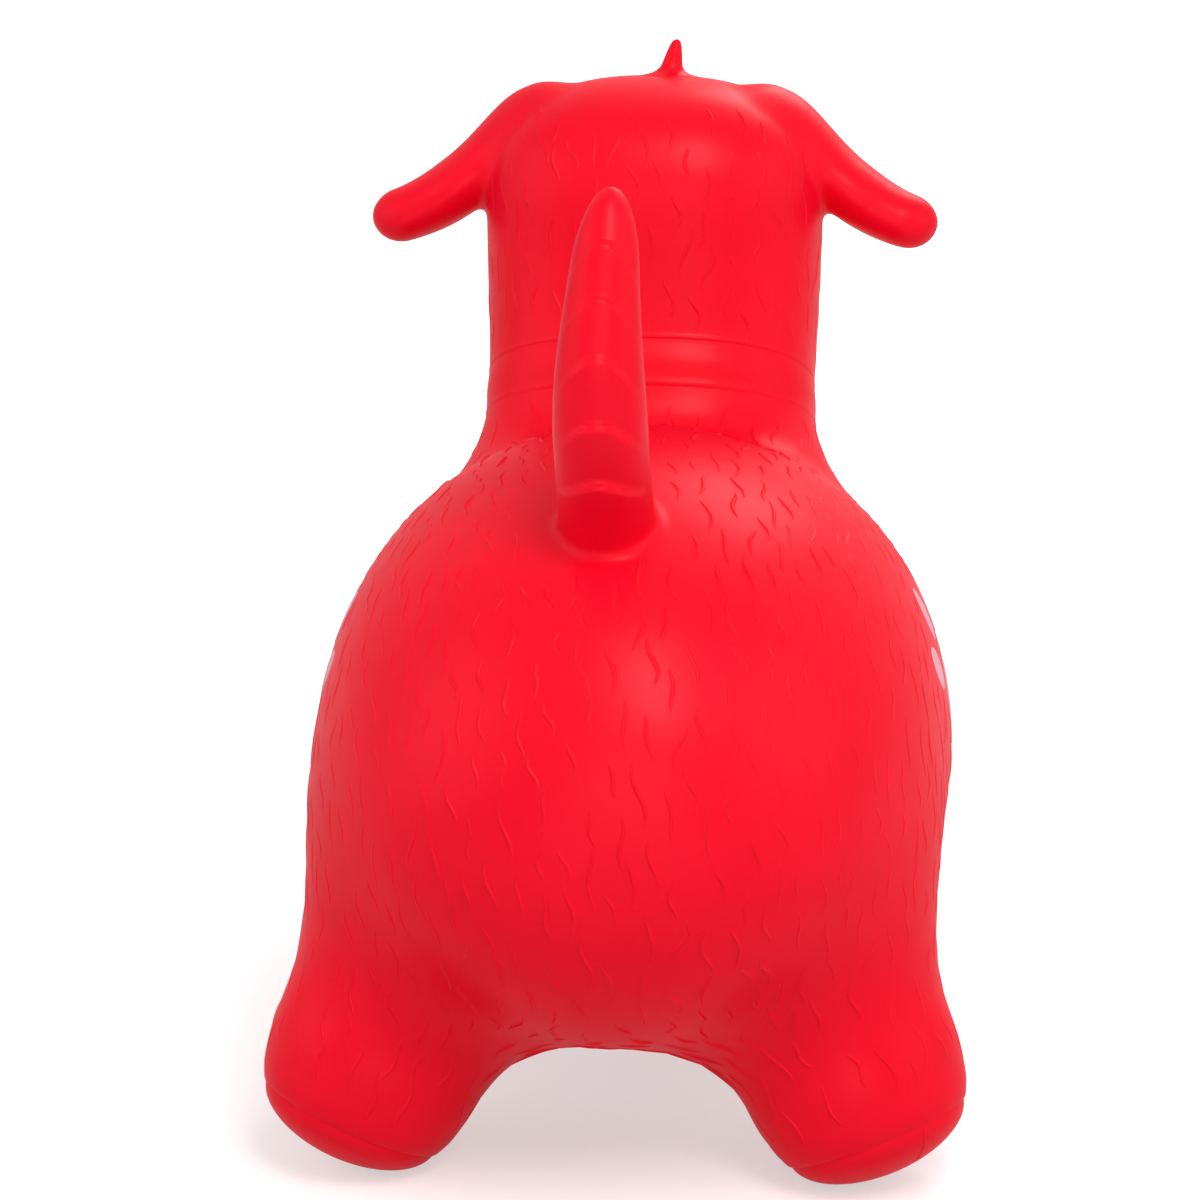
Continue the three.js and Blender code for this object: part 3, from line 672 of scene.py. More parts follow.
def refined(points, quads, rim):
    """Quads cut in four and drawn onto the skin, with the rim kept where it is."""
    fine, quads = subdivided(points, quads)
    fixed = np.zeros(len(fine), bool)
    fixed[rim.ravel()] = True
    _, _, fine_rim = part_of(fine, quads, np.ones(len(quads), bool))
    fixed[fine_rim.ravel()] = True
    fine[~fixed] = on_skin(fine[~fixed], REFINE_ROUNDS)
    return fine, quads, fine_rim


def skin_piece(name, chosen, sink, nodes, body, finer=0):
    """The chosen part of the skin, cut finer some times over."""
    points, quads, rim = part_of(skin_points, skin_quads, chosen)
    for _ in range(finer):
        points, quads, rim = refined(points, quads, rim)
    points, normals, faces = rims_closed(points, skin_normals(points), quads, rim, sink)
    return piece(name, points, faces, normals, red_vinyl, nodes, body)


body_nodes = ["torso", "neck", "head", "muzzle", "tail_root"]
body_nodes += [f"ear_root_{side}" for side in HANDS]
body_nodes += [f"{what}_{end}_{side}" for what in ("leg", "foot") for end in ENDS for side in HANDS]
skin_piece("body_skin", is_body, into_body, body_nodes, BODY)
for side, hand in HANDS.items():
    ear_name = f"ear_{side}"
    ear_skin = skin_piece(f"ear_skin_{side}", is_ear[hand], out_of_body, [ear_name], None)
    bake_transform(ear_skin)
tail_skin = skin_piece("tail_skin", is_tail, out_of_body, ["tail"], None, finer=1)
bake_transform(tail_skin)


def ring_quads(rows, columns, wrap):
    """Quads from each ring of points to the next, and from the last ring to the first if they wrap."""
    row, column = np.meshgrid(np.arange(rows - (not wrap)), np.arange(columns), indexing="ij")
    row, column = row.ravel(), column.ravel()
    above, beside = (row + 1) % rows, (column + 1) % columns
    corners = ((row, column), (row, beside), (above, beside), (above, column))
    return np.stack([r * columns + c for r, c in corners], axis=1)


def capped(rings, first, last):
    """Rings that turn left about the way they advance, lofted and closed by a point at each end."""
    rows, columns = rings.shape[:2]
    points = np.vstack([rings.reshape(-1, 3), first, last])
    count = rows * columns
    faces = ring_quads(rows, columns, False).tolist()
    for k in range(columns):
        after = (k + 1) % columns
        faces.append([count, after, k])
        faces.append([count + 1, count - columns + k, count - columns + after])
    return points, faces


# Bands round the neck and the feet: place along the limb and rise from the skin, from above to below
BAND_SIDES = 160
BAND_START = 20
BAND_SINK = 0.8
COLLAR_TILT = math.radians(26)
COLLAR_DROP = 1.5
COLLAR_PROFILE = [
    (14, -0.1), (12.8, 0.3), (11.6, 0.55), (10.9, 0.45), (10.4, -0.15), (9.9, 0.1), (8.4, 0.55),
    (6.4, 1.1), (4, 1.65), (1.6, 2), (-0.6, 1.95), (-3.4, 1.5), (-6.4, 0.95), (-8.3, 0.6),
    (-9.2, 0.75), (-10, 0.85), (-10.8, 0.55), (-11.6, 0.1), (-12, -0.1),
]
COLLAR_SIDE_SHARE = 0.45
RIDGE_PROFILE = [
    (16, -0.1), (12, 0.08), (8.5, 0.3), (5.5, 0.65), (3, 1.05), (1.2, 1.4), (0.1, 1.5), (-0.7, 1.3),
    (-1.4, 0.7), (-2, -0.3),
]
RIDGE_SIDE_SHARE = 1


def band(name, middle, way, profile, side_share, nodes):
    """A band round a limb, which rises by a share only at the sides."""
    first = unit(np.cross([0, 1, 0], way))
    second = np.cross(way, first)
    angles = np.linspace(0, 2 * math.pi, BAND_SIDES, endpoint=False)[:, None]
    out = np.cos(angles) * first + np.sin(angles) * second
    places, rises = np.array(profile).T
    slopes = np.gradient(rises, places)
    slopes[[0, -1]] = 0
    shares = mix(1, side_share, np.cos(angles) ** 2)[:, None]
    start = middle + places[None, :, None] * way + BAND_START * out[:, None, :]
    flat = along_rays(start.reshape(-1, 3), -np.repeat(out, len(profile), axis=0))
    on = flat.reshape(start.shape)
    normals = skin_normals(flat).reshape(start.shape)
    top = on + rises[None, :, None] * shares * normals
    shades = unit(normals - slopes[None, :, None] * shares * way)
    under = (on - BAND_SINK * normals)[:, [-1, 0]]
    loops = np.concatenate([top, under], axis=1)
    shades = np.concatenate([shades, -normals[:, [-1, 0]]], axis=1)
    faces = ring_quads(BAND_SIDES, loops.shape[1], True).tolist()
    points, shades = loops.reshape(-1, 3), shades.reshape(-1, 3)
    return piece(name, points, faces, shades, red_vinyl, nodes)


collar_way = np.array([0, math.sin(COLLAR_TILT), math.cos(COLLAR_TILT)])
collar_middle = collar - COLLAR_DROP * neck_way
band("collar_band", collar_middle, collar_way, COLLAR_PROFILE, COLLAR_SIDE_SHARE, ["collar"])
for end in ENDS:
    for side, hand in HANDS.items():
        ridge, way = ridge_place(hand, end), leg_way(hand, end)
        band(f"foot_ridge_{end}_{side}", ridge, way, RIDGE_PROFILE, RIDGE_SIDE_SHARE, [])


# Welts: soft raised lines on the skin that run out at both ends
WELT_SINK = 0.03
WELT_UNDER = 0.5
WELT_PLACES = (1, 0.5, 0, -0.5, -1)
WELT_WIDTH_POWER = 0.6
WELT_RISE_POWER = 0.8


def welts(name, paths, half_widths, rises, material, slot, nodes=()):
    """Raised lines along paths on the skin, whose edges meet it without a crease."""
    count, stations = paths.shape[:2]
    normals = skin_normals(paths.reshape(-1, 3)).reshape(paths.shape)
    ways = unit(np.gradient(paths, axis=1))
    across = unit(np.cross(normals, ways))
    taper = np.sin(np.linspace(0, math.pi, stations))[None, 1:-1, None]
    half = half_widths[:, None, None] * taper**WELT_WIDTH_POWER
    rise = rises[:, None, None] * taper**WELT_RISE_POWER
    on, normals, across = paths[:, 1:-1], normals[:, 1:-1], across[:, 1:-1]
    loops = []
    shades = []
    for u in WELT_PLACES:
        lift = rise * math.cos(math.pi * u / 2) ** 2 - WELT_SINK
        loops.append(on + u * half * across + lift * normals)
        shades.append(unit(normals + math.pi * rise / (2 * half) * math.sin(math.pi * u) * across))
    loops = np.stack([*loops, on - WELT_UNDER * normals], axis=2)
    shades = np.stack([*shades, -normals], axis=2)
    points = []
    faces = []
    turns = []
    for k in range(count):
        made, sides = capped(loops[k], paths[k, 0], paths[k, -1])
        base = k * len(made)
        points.append(made)
        faces += [[base + corner for corner in face] for face in sides]
        turns.append(np.vstack([shades[k].reshape(-1, 3), normals[k, 0], normals[k, -1]]))
    return piece(name, np.vstack(points), faces, np.vstack(turns), material, nodes)


# Fur: strokes moulded on the body, wavy and mostly drifting to one side
STROKE_SEED = 11
STROKE_CANDIDATES = 12000
STROKE_GAP_ALONG = 18
STROKE_GAP_ACROSS = 8.8
STROKE_STATIONS = 13
STROKE_LENGTH = (15, 27)
STROKE_HALF_WIDTH = (1.05, 1.35)
STROKE_RISE = (0.75, 1.05)
STROKE_DRIFT = (1.2, 4.8)
STROKE_WAVE = (0.8, 1.7)
DRIFT_RIGHT_SHARE = 0.82
FLANK_RISE_SHARE = 0.4
FLANK_TURN = (0.4, 0.8)
FUR_WAY = np.array([0, -0.3, -1])
FUR_SPLAY = 0.3
LEG_FUR_HEIGHT = (60, 110)
FOOT_CLEAR = 15
COLLAR_CLEAR = 22
FACE_PLACE = 138
EAR_CLEAR = 34
TAIL_CLEAR = 36
VALVE_CLEAR = 44
PAD_CLEAR = 8
TOE_CLEAR = 6
CLEAR_STRIDE = 12
CROWN_BARE = 15

# Paw prints, eyes, mouth and nose
INK_RISE = 0.35
INK_UNDER = 0.5
PAW_PLACE = {-1: -31, 1: -2}
PAW_HEIGHT = 184
PAW_TURN = math.radians(-6)
PAD_LENGTH = 36
PAD_WIDTH = 42
PAD_OUTLINE = [[0, 0.5], [0.3, 0.3], [0.5, -0.2], [0.36, -0.48], [0, -0.36]]
PAD_WRAP = 3
PAD_FINENESS = 8
TOE_COUNT = 4
TOE_LENGTH = 24
TOE_WIDTH = 18
TOE_REACH = 44
TOE_SPREAD = math.radians(42)
EYE_APART = 56
EYE_RISE = 25
EYE_SIZE = (26, 34)
PUPIL_SIZE = (14, 19)
PUPIL_DROP = 3
MOUTH_WIDTH = 60
MOUTH_DROP = 8
MOUTH_SAG = 12
MOUTH_HALF_LINE = 1.7
MOUTH_STATIONS = 41
NOSE_HALVES = np.array([21, 15, 14])
NOSE_RISE = 20
NOSE_SINK = 6
NOSTRIL_WAY = np.array([0.62, 0.72, -0.3])
NOSTRIL_DEPTH = 0.24
NOSTRIL_SPREAD = 0.2
FILM_STEPS = 72
FILM_FOOT = -0.05
FILM_PROFILE = [(0.97, 0.75), (0.9, 1), (0.7, 1), (0.45, 1), (0.2, 1)]
RAY_START = 300

# Tuft of hair on the crown
TUFT_ASIDE = 5.8
TUFT_PLACE = 12
TUFT_HEIGHT = 17.2
TUFT_LEAN = 3.2
TUFT_SINK = 1
TUFT_PROFILE = [
    (15, -0.05), (11.5, 0.5), (8.8, 1.3), (6.8, 2.5), (5.4, 4.2), (4.7, 6.6), (4.1, 9.4), (3.5, 12),
    (2.8, 14.3), (2.2, 15.8), (1.5, 16.7), (0.7, 17.15),
]

# Valve under the belly. SEAT_EDGE and PLUG_FACE are places out from the rim and up from the lowest face
VALVE_PLACE = -30
SEAT_RADIUS = 17
SEAT_DROP = 3
SEAT_HEIGHT = 14
BORE_RADIUS = 5.8
PLUG_RADIUS = 12
PLUG_THICK = 3
PLUG_GAP = 0.3
STEM_RADIUS = 5.5
STEM_TIP_RADIUS = 4.5
STEM_LENGTH = 16
STEM_CHAMFER = 0.8
BORE_CHAMFER = 0.6
SEAT_EDGE = [(-1.4, 0), (-0.4, 0.4), (0, 1.2)]
PLUG_FACE = [(-7, 0.3), (-6, 0), (-1, 0), (-0.3, 0.4), (0, 1.2)]
PLUG_EDGE = 0.3


def paw_point(hand, forward, sideways):
    y = PAW_PLACE[hand] - forward * math.sin(PAW_TURN) - sideways * math.cos(PAW_TURN)
    z = PAW_HEIGHT + forward * math.cos(PAW_TURN) - sideways * math.sin(PAW_TURN)
    return np.array([hand * RAY_START, middle_y + y, z])


def toe_angle(index):
    return TOE_SPREAD * (index - (TOE_COUNT - 1) / 2)


def toe_point(hand, index):
    angle = toe_angle(index)
    return paw_point(hand, TOE_REACH * math.cos(angle), TOE_REACH * math.sin(angle))


valve_place = np.array([0, middle_y + VALVE_PLACE, AXIS_HEIGHT - BELLY_DROP * torso_share(VALVE_PLACE)])
crown = skull + [TUFT_ASIDE, TUFT_PLACE, DOME_RISE]
nose = muzzle + [0, MUZZLE_HALVES[1] - NOSE_SINK, NOSE_RISE]


def far_from(p, points, clear):
    gaps = np.linalg.norm(p[:, None, :] - np.asarray(points)[None], axis=2)
    return gaps.min(axis=1) > clear


def furred(p):
    """Where the skin carries strokes."""
    free = np.abs((p - collar) @ neck_way) > COLLAR_CLEAR
    free |= p[:, 2] < collar[2] - 2 * COLLAR_CLEAR
    free &= ~((p[:, 1] > FACE_PLACE) & (p[:, 2] > collar[2]))
    free &= p[:, 2] < skull[2] + DOME_RISE - CROWN_BARE
    free &= far_from(p, [valve_place], VALVE_CLEAR)
    free &= far_from(p, tail_line[::CLEAR_STRIDE], TAIL_CLEAR)
    for hand in HANDS.values():
        free &= far_from(p, ear_lines[hand][::CLEAR_STRIDE], EAR_CLEAR)
        for end in ENDS:
            free &= (p - ridge_place(hand, end)) @ leg_way(hand, end) > FOOT_CLEAR
        marks = [paw_point(hand, 0, 0)] + [toe_point(hand, index) for index in range(TOE_COUNT)]
        clears = [PAD_WIDTH / 2 + PAD_CLEAR] + TOE_COUNT * [TOE_LENGTH / 2 + TOE_CLEAR]
        for mark, clear in zip(marks, clears):
            aside = np.linalg.norm(p[:, 1:] - mark[1:], axis=1)
            free &= (aside > clear) | (hand * p[:, 0] < 0)
    return free


def fur_way(p, normals):
    """The line of the fur: fore and aft on the back, up and down elsewhere, and along each leg."""
    legs = [leg_way(hand, end) for hand in HANDS.values() for end in ENDS]
    feet = [ridge_place(hand, end) for hand in HANDS.values() for end in ENDS]
    nearest = np.linalg.norm(p[:, None, :] - np.array(feet)[None], axis=2).argmin(axis=1)
    low = 1 - smoothstep(p[:, 2], *LEG_FUR_HEIGHT)
    straight = np.cross([1, 0, 0], normals)
    way = mix(straight + FUR_SPLAY * unit(FUR_WAY), -np.array(legs)[nearest], low[:, None])
    way = way - np.einsum("nk,nk->n", way, normals)[:, None] * normals
    return unit(way)


def fur_strokes():
    random = np.random.default_rng(STROKE_SEED)
    tried = centres[is_body]
    tried = on_skin(tried[random.permutation(len(tried))[:STROKE_CANDIDATES]], 1)
    tried = tried[furred(tried)]
    normals = skin_normals(tried)
    ways = fur_way(tried, normals)
    kept = []
    for k in range(len(tried)):
        gaps = tried[k] - tried[kept]
        along = np.einsum("nk,nk->n", gaps, ways[kept])
        aside = np.einsum("nk,nk->n", gaps, gaps) - along**2
        if np.all((along / STROKE_GAP_ALONG) ** 2 + aside / STROKE_GAP_ACROSS**2 > 1):
            kept.append(k)
    middle, normals, ways = tried[kept], normals[kept], ways[kept]
    across = np.cross(normals, ways)
    count = len(kept)
    length = random.uniform(*STROKE_LENGTH, count)
    drift = random.uniform(*STROKE_DRIFT, count)
    drift *= np.where(random.random(count) < DRIFT_RIGHT_SHARE, 1, -1)
    wave = random.uniform(*STROKE_WAVE, count)[:, None]
    phase = random.uniform(0, 2 * math.pi, count)[:, None]
    t = np.linspace(0, 1, STROKE_STATIONS)
    along = (length[:, None] * (t - 0.5))[:, :, None]
    waves = wave * np.sin(2 * math.pi * t + phase)
    aside = (drift[:, None] * (smoothstep(t) - 0.5) + waves)[:, :, None]
    paths = middle[:, None] + along * ways[:, None] + aside * across[:, None]
    paths = on_skin(paths.reshape(-1, 3)).reshape(paths.shape)
    half_widths = random.uniform(*STROKE_HALF_WIDTH, count)
    rises = random.uniform(*STROKE_RISE, count)
    rises *= mix(1, FLANK_RISE_SHARE, smoothstep(np.abs(normals[:, 0]), *FLANK_TURN))
    return welts("fur_strokes", paths, half_widths, rises, red_vinyl, "red_vinyl")


fur_strokes()


# Seam left by the mould on the right rear foot
SEAM_ANGLES = (math.radians(4), math.radians(62))
SEAM_TURN = math.radians(36)
SEAM_STATIONS = 15
SEAM_HALF_WIDTH = 1.0
SEAM_RISE = 0.6

seam_way = leg_way(HANDS["right"], "rear")
seam_out = unit(np.cross(seam_way, [math.sin(SEAM_TURN), -math.cos(SEAM_TURN), 0]))
seam_out = np.cross(seam_out, seam_way)
seam_angles = np.linspace(*SEAM_ANGLES, SEAM_STATIONS)[:, None]
seam = LEG_LINE[0][0] * np.cos(seam_angles) * seam_out - FOOT_DEPTH * np.sin(seam_angles) * seam_way
seam_path = on_skin(ridge_place(HANDS["right"], "rear") + seam)
seam_sizes = (np.array([SEAM_HALF_WIDTH]), np.array([SEAM_RISE]))
welts("foot_seam", seam_path[None], *seam_sizes, red_vinyl, "red_vinyl")


# Films of ink
def film(name, outline, inwards, rise, material):
    """A printed mark: an outline seen along a direction, laid on the skin and lifted by a rise."""
    middle = outline.mean(axis=0)
    shares = [(1, -INK_UNDER), (1, FILM_FOOT)]
    shares += [(share, part * rise) for share, part in FILM_PROFILE]
    flat = np.concatenate([middle + share * (outline - middle) for share, _ in shares] + [middle[None]])
    on = along_rays(flat, np.tile(inwards, (len(flat), 1)))
    rises = np.repeat([lift for _, lift in shares], len(outline))
    normals = skin_normals(on)
    lifted = on + np.append(rises, rise)[:, None] * normals
    rings = lifted[:-1].reshape(len(shares), len(outline), 3)
    points, faces = capped(rings, on[-1] - INK_UNDER * normals[-1], lifted[-1])
    return piece(f"{name}_film", points, faces, None, material, [name])


def turned_left(outline, inwards):
    """The outline, turning left as seen from outside."""
    spokes = outline - outline.mean(axis=0)
    area = np.cross(spokes, np.roll(spokes, -1, axis=0)).sum(axis=0)
    return outline if area @ inwards < 0 else outline[::-1]


def oval(middle, first, second):
    angles = np.linspace(0, 2 * math.pi, FILM_STEPS, endpoint=False)[:, None]
    return middle + np.cos(angles) * first + np.sin(angles) * second


def pad_outline(hand):
    """A smooth outline through the pad's corners on one side and their mirror images on the other."""
    mirrored = [[-sideways, forward] for sideways, forward in PAD_OUTLINE[-2:0:-1]]
    corners = []
    for sideways, forward in PAD_OUTLINE + mirrored:
        corners.append(paw_point(hand, forward * PAD_LENGTH, sideways * PAD_WIDTH))
    wrapped = np.array(corners[-PAD_WRAP:] + corners + corners[:PAD_WRAP])
    fine = smooth_line(wrapped, PAD_FINENESS * FILM_STEPS)
    gaps = np.linalg.norm(fine - corners[0], axis=1)
    half = len(fine) // 2
    start = gaps[:half].argmin()
    stop = half + gaps[half:].argmin()
    return fine[start:stop:PAD_FINENESS]


for side, hand in HANDS.items():
    inwards = np.array([-hand, 0, 0])
    outline = turned_left(pad_outline(hand), inwards)
    film(f"paw_pad_{side}", outline, inwards, INK_RISE, pink_ink)
    for index in range(TOE_COUNT):
        middle = toe_point(hand, index)
        outwards = unit(middle - paw_point(hand, 0, 0))
        beside = np.cross(inwards, outwards)
        outline = oval(middle, outwards * TOE_LENGTH / 2, beside * TOE_WIDTH / 2)
        outline = turned_left(outline, inwards)
        film(f"paw_toe_{side}_{index + 1}", outline, inwards, INK_RISE, pink_ink)
    inwards = np.array([0, -1, 0])
    eye = skull + [hand * EYE_APART / 2, RAY_START, EYE_RISE]
    for name, rise, size, drop, ink, slot in (
        ("white", INK_RISE, EYE_SIZE, 0, white_ink, "white_ink"),
        ("pupil", 2 * INK_RISE, PUPIL_SIZE, PUPIL_DROP, black_ink, "black_ink"),
    ):
        half_width, half_height = np.array([size[0] / 2, 0, 0]), np.array([0, 0, size[1] / 2])
        outline = turned_left(oval(eye - [0, 0, drop], half_width, half_height), inwards)
        film(f"eye_{name}_{side}", outline, inwards, rise, ink)

mouth_x = np.linspace(-MOUTH_WIDTH / 2, MOUTH_WIDTH / 2, MOUTH_STATIONS)
mouth_y = np.full(MOUTH_STATIONS, muzzle[1] + RAY_START)
mouth_z = muzzle[2] - MOUTH_DROP - MOUTH_SAG * (1 - (2 * mouth_x / MOUTH_WIDTH) ** 2)
mouth_start = np.stack([mouth_x, mouth_y, mouth_z], axis=1)
mouth_path = along_rays(mouth_start, np.tile([0, -1, 0], (MOUTH_STATIONS, 1)))
mouth_sizes = (np.array([MOUTH_HALF_LINE]), np.array([INK_RISE]))
welts("mouth_film", mouth_path[None], *mouth_sizes, black_ink, "black_ink", ["mouth_line"])

# Nose with two nostrils
NOSE_RINGS = 40
NOSE_SIDES = 64
ring_angles = np.linspace(-math.pi / 2, math.pi / 2, NOSE_RINGS + 2)[1:-1]
side_angles = np.linspace(0, 2 * math.pi, NOSE_SIDES, endpoint=False)
lift, turn = np.meshgrid(ring_angles, side_angles, indexing="ij")
nose_ways = np.stack([np.cos(lift) * np.sin(turn), np.sin(lift), np.cos(lift) * np.cos(turn)], axis=2)
dent = np.zeros(nose_ways.shape[:2])
for hand in HANDS.values():
    gap = np.linalg.norm(nose_ways - unit(NOSTRIL_WAY * [hand, 1, 1]), axis=2)
    dent += NOSTRIL_DEPTH * np.exp(-((gap / NOSTRIL_SPREAD) ** 2))
nose_rings = nose + nose_ways * NOSE_HALVES * (1 - dent)[:, :, None]
nose_reach = np.array([0, NOSE_HALVES[1], 0])
nose_points, nose_faces = capped(nose_rings, nose - nose_reach, nose + nose_reach)
piece("nose_tip", nose_points, nose_faces, None, black_vinyl, ["nose"])

# Tuft: a blunt spike whose foot runs out on the crown
TUFT_SIDES = 48
tuft_angles = np.linspace(0, 2 * math.pi, TUFT_SIDES, endpoint=False)
tuft_circle = np.stack([np.cos(tuft_angles), np.sin(tuft_angles), np.zeros(TUFT_SIDES)], axis=1)
down = np.tile([0, 0, -1], (TUFT_SIDES, 1))
tuft_rings = []
for radius, height in TUFT_PROFILE:
    foot = along_rays(crown + radius * tuft_circle + [0, 0, TUFT_HEIGHT], down)
    tuft_rings.append(foot + [TUFT_LEAN * height / TUFT_HEIGHT, 0, height])
tuft_rings = np.array([tuft_rings[0] - [0, 0, TUFT_SINK], *tuft_rings])
tuft_foot = tuft_rings[0].mean(axis=0)
tuft_tip = along_rays(crown[None] + [0, 0, TUFT_HEIGHT], down[:1])[0] + [TUFT_LEAN, 0, TUFT_HEIGHT]
tuft_points, tuft_faces = capped(tuft_rings, tuft_foot, tuft_tip)
piece("tuft_spike", tuft_points, tuft_faces, None, red_vinyl, ["head_tuft"])


# Valve: a bush in the belly and the plug pressed into it
TURN_SIDES = 72


def turned(profile):
    """Rings turned round the valve's axis: radius and height above its foot, from below to above."""
    angles = np.linspace(0, 2 * math.pi, TURN_SIDES, endpoint=False)
    circle = np.stack([np.cos(angles), np.sin(angles), np.zeros(TURN_SIDES)], axis=1)
    return np.array([valve_place + radius * circle + [0, 0, height] for radius, height in profile])


seat_low = -SEAT_DROP
seat_profile = [
    (BORE_RADIUS + BORE_CHAMFER, seat_low),
    *((SEAT_RADIUS + out, seat_low + up) for out, up in SEAT_EDGE),
    (SEAT_RADIUS, SEAT_HEIGHT),
    (BORE_RADIUS, SEAT_HEIGHT),
    (BORE_RADIUS, seat_low + BORE_CHAMFER),
]
seat_rings = turned(seat_profile)
seat_faces = ring_quads(len(seat_profile), TURN_SIDES, True).tolist()
piece("valve_bush", seat_rings.reshape(-1, 3), seat_faces, None, red_vinyl, ["valve_seat"])
plug_top = seat_low - PLUG_GAP
plug_low = plug_top - PLUG_THICK
stem_top = plug_top + STEM_LENGTH
plug_profile = [
    *((PLUG_RADIUS + out, plug_low + up) for out, up in PLUG_FACE),
    (PLUG_RADIUS, plug_top - PLUG_EDGE),
    (PLUG_RADIUS - PLUG_EDGE, plug_top),
    (STEM_RADIUS, plug_top),
    (STEM_TIP_RADIUS, stem_top - STEM_CHAMFER),
    (STEM_TIP_RADIUS - STEM_CHAMFER, stem_top),
]
plug_ends = [valve_place + [0, 0, height] for height in (plug_low + PLUG_FACE[0][1], stem_top)]
plug_points, plug_faces = capped(turned(plug_profile), *plug_ends)
plug_nodes, plug_body = ["valve_plug"], "valve_plug"
piece("valve_stopper", plug_points, plug_faces, None, plug_vinyl, plug_nodes, plug_body)

# Camera at the photograph's angle
CAMERA_YAW = math.radians(3.74)
CAMERA_RISE = math.radians(12.56)
CAMERA_ROLL = math.radians(0.33)
CAMERA_DISTANCE = 1.51
CAMERA_AIM_HEIGHT = 0.222
LENS = 97.6
PHOTO_WIDTH = 1200
AIM_PIXEL = (639.2, 592.9)

aim = Vector((0, 0, CAMERA_AIM_HEIGHT))
level_reach = math.cos(CAMERA_RISE)
back = Vector((
    level_reach * math.sin(CAMERA_YAW),
    -level_reach * math.cos(CAMERA_YAW),
    math.sin(CAMERA_RISE),
))
camera = bpy.data.objects.new("camera", bpy.data.cameras.new("camera"))
camera.data.lens = LENS
camera.data.shift_x = 0.5 - AIM_PIXEL[0] / PHOTO_WIDTH
camera.data.shift_y = AIM_PIXEL[1] / PHOTO_WIDTH - 0.5
camera.location = aim + back * CAMERA_DISTANCE
camera.rotation_mode = "QUATERNION"
camera.rotation_quaternion = (-back).to_track_quat("-Z", "Y") @ Quaternion((0, 0, 1), CAMERA_ROLL)
bpy.context.scene.collection.objects.link(camera)
bpy.context.scene.camera = camera


# Studio: white all round, soft lamps and a floor that takes the shadow
def area_lamp(name, place, size, power):
    """A lamp of a width and height, turned to the dog."""
    lamp = bpy.data.objects.new(name, bpy.data.lights.new(name, "AREA"))
    lamp.data.shape = "RECTANGLE"
    lamp.data.size, lamp.data.size_y = size
    lamp.data.energy = power
    lamp.location = place
    lamp.rotation_mode = "QUATERNION"
    lamp.rotation_quaternion = (aim - Vector(place)).to_track_quat("-Z", "Y")
    bpy.context.scene.collection.objects.link(lamp)


area_lamp("lamp_key", place=(0.5, -1.35, 1.95), size=(0.6, 1.2), power=25)
area_lamp("lamp_left", place=(-1.8, -0.6, 1.0), size=(1.8, 1.6), power=10)
area_lamp("lamp_right", place=(1.8, -0.5, 1.0), size=(1.8, 1.6), power=8)
area_lamp("lamp_low", place=(0.2, -2.3, 0.5), size=(1.2, 1.2), power=8)
area_lamp("lamp_front", place=(0.5, 1.5, 1.4), size=(0.8, 0.8), power=12)

world = bpy.data.worlds.new("studio")
world.use_nodes = True
bpy.context.scene.world = world
WORLD_LIGHT = 0.45
WORLD_SEEN = 1.0


def seen_directly(tree):
    """1 where the camera, a reflection or a see-through surface looks, and 0 for the light itself."""
    path = tree.nodes.new("ShaderNodeLightPath")
    either = tree.nodes.new("ShaderNodeMath")
    either.operation = "MAXIMUM"
    tree.links.new(path.outputs["Is Camera Ray"], either.inputs[0])
    tree.links.new(path.outputs["Is Transmission Ray"], either.inputs[1])
    both = tree.nodes.new("ShaderNodeMath")
    both.operation = "MAXIMUM"
    tree.links.new(either.outputs[0], both.inputs[0])
    tree.links.new(path.outputs["Is Glossy Ray"], both.inputs[1])
    return both.outputs[0]


def between(tree, share, low, high):
    """A value that runs from low to high with a share."""
    ranged = tree.nodes.new("ShaderNodeMapRange")
    ranged.inputs["To Min"].default_value = low
    ranged.inputs["To Max"].default_value = high
    tree.links.new(share, ranged.inputs["Value"])
    return ranged.outputs["Result"]


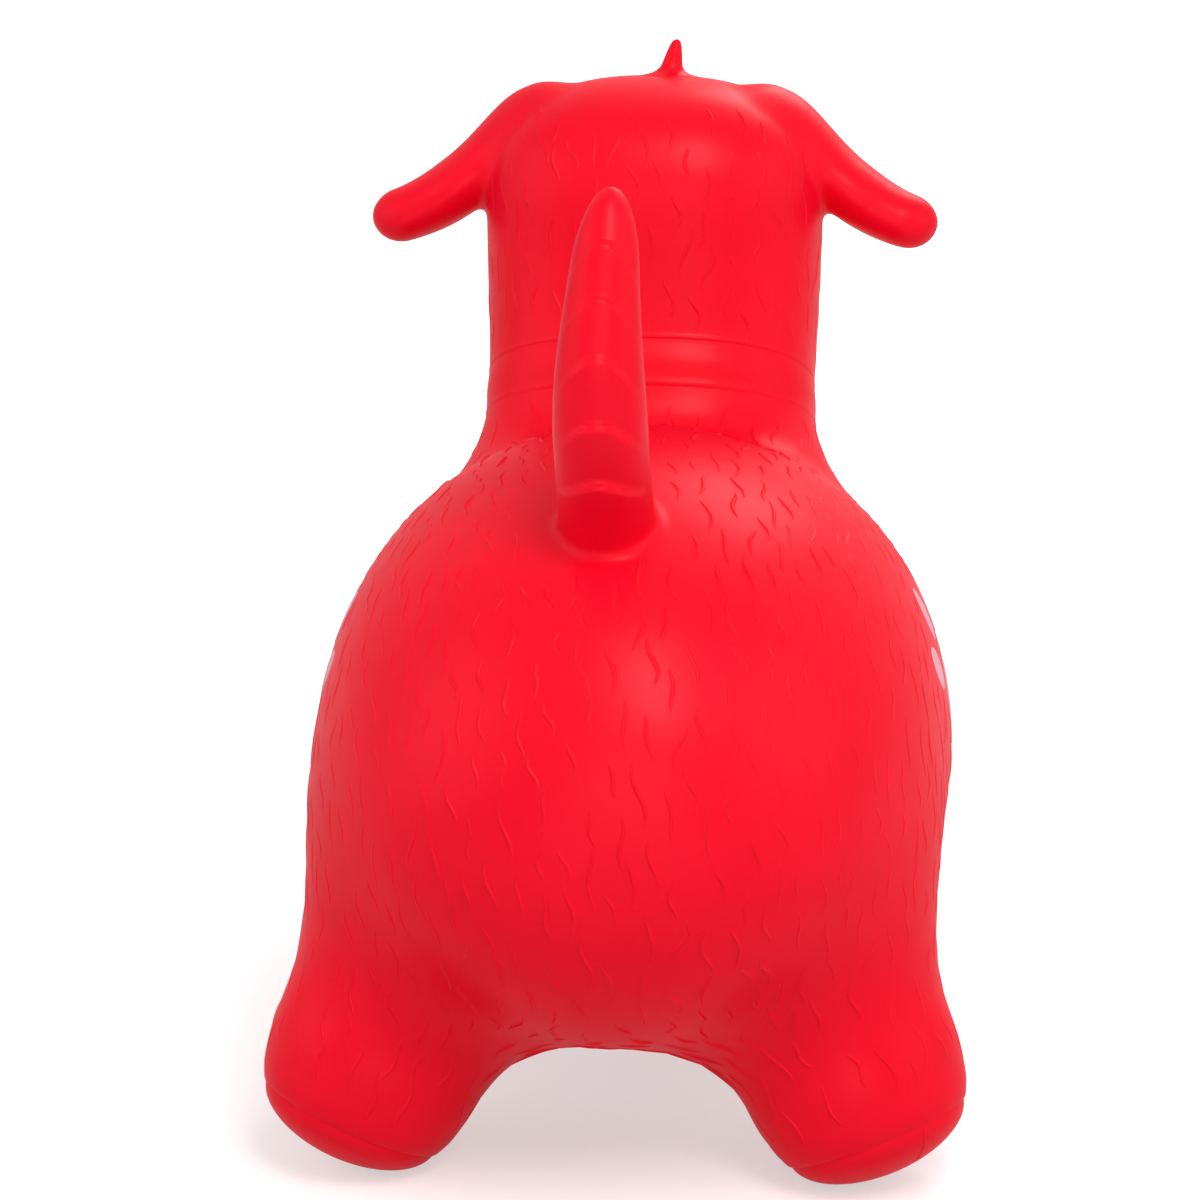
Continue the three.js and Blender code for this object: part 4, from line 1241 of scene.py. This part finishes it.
background = world.node_tree.nodes["Background"]
background.inputs["Color"].default_value = (1, 1, 1, 1)
world_strength = between(world.node_tree, seen_directly(world.node_tree), WORLD_LIGHT, WORLD_SEEN)
world.node_tree.links.new(world_strength, background.inputs["Strength"])

FLOOR_SIZE = 60
FLOOR_ALBEDO = 0.6
FLOOR_GLOW = (0.52, 1.0)
FLOOR_GLOW_REACH = (0.35, 1.1)

floor_mesh = bpy.data.meshes.new("floor")
edge = FLOOR_SIZE / 2
floor_corners = [(-edge, -edge, 0), (edge, -edge, 0), (edge, edge, 0), (-edge, edge, 0)]
floor_mesh.from_pydata(floor_corners, [], [(0, 1, 2, 3)])
floor = bpy.data.objects.new("floor", floor_mesh)
bpy.context.scene.collection.objects.link(floor)

floor_material = bpy.data.materials.new("floor")
floor_material.use_nodes = True
floor_tree = floor_material.node_tree
floor_shader = floor_tree.nodes["Principled BSDF"]
floor_shader.inputs["Base Color"].default_value = (FLOOR_ALBEDO, FLOOR_ALBEDO, FLOOR_ALBEDO, 1)
floor_shader.inputs["Roughness"].default_value = 1
floor_shader.inputs["Specular IOR Level"].default_value = 0
floor_place = floor_tree.nodes.new("ShaderNodeTexCoord")
floor_reach = floor_tree.nodes.new("ShaderNodeVectorMath")
floor_reach.operation = "LENGTH"
floor_tree.links.new(floor_place.outputs["Object"], floor_reach.inputs[0])
far_share = floor_tree.nodes.new("ShaderNodeMapRange")
far_share.inputs["From Min"].default_value = FLOOR_GLOW_REACH[0]
far_share.inputs["From Max"].default_value = FLOOR_GLOW_REACH[1]
far_share.interpolation_type = "SMOOTHSTEP"
floor_tree.links.new(floor_reach.outputs["Value"], far_share.inputs["Value"])
floor_glow = floor_tree.nodes.new("ShaderNodeMath")
floor_glow.operation = "MULTIPLY"
near_to_far = between(floor_tree, far_share.outputs["Result"], *FLOOR_GLOW)
floor_tree.links.new(near_to_far, floor_glow.inputs[0])
floor_tree.links.new(seen_directly(floor_tree), floor_glow.inputs[1])
floor_shader.inputs["Emission Color"].default_value = (1, 1, 1, 1)
floor_tree.links.new(floor_glow.outputs[0], floor_shader.inputs["Emission Strength"])
floor_mesh.materials.append(floor_material)

bpy.context.scene.view_settings.view_transform = "Standard"
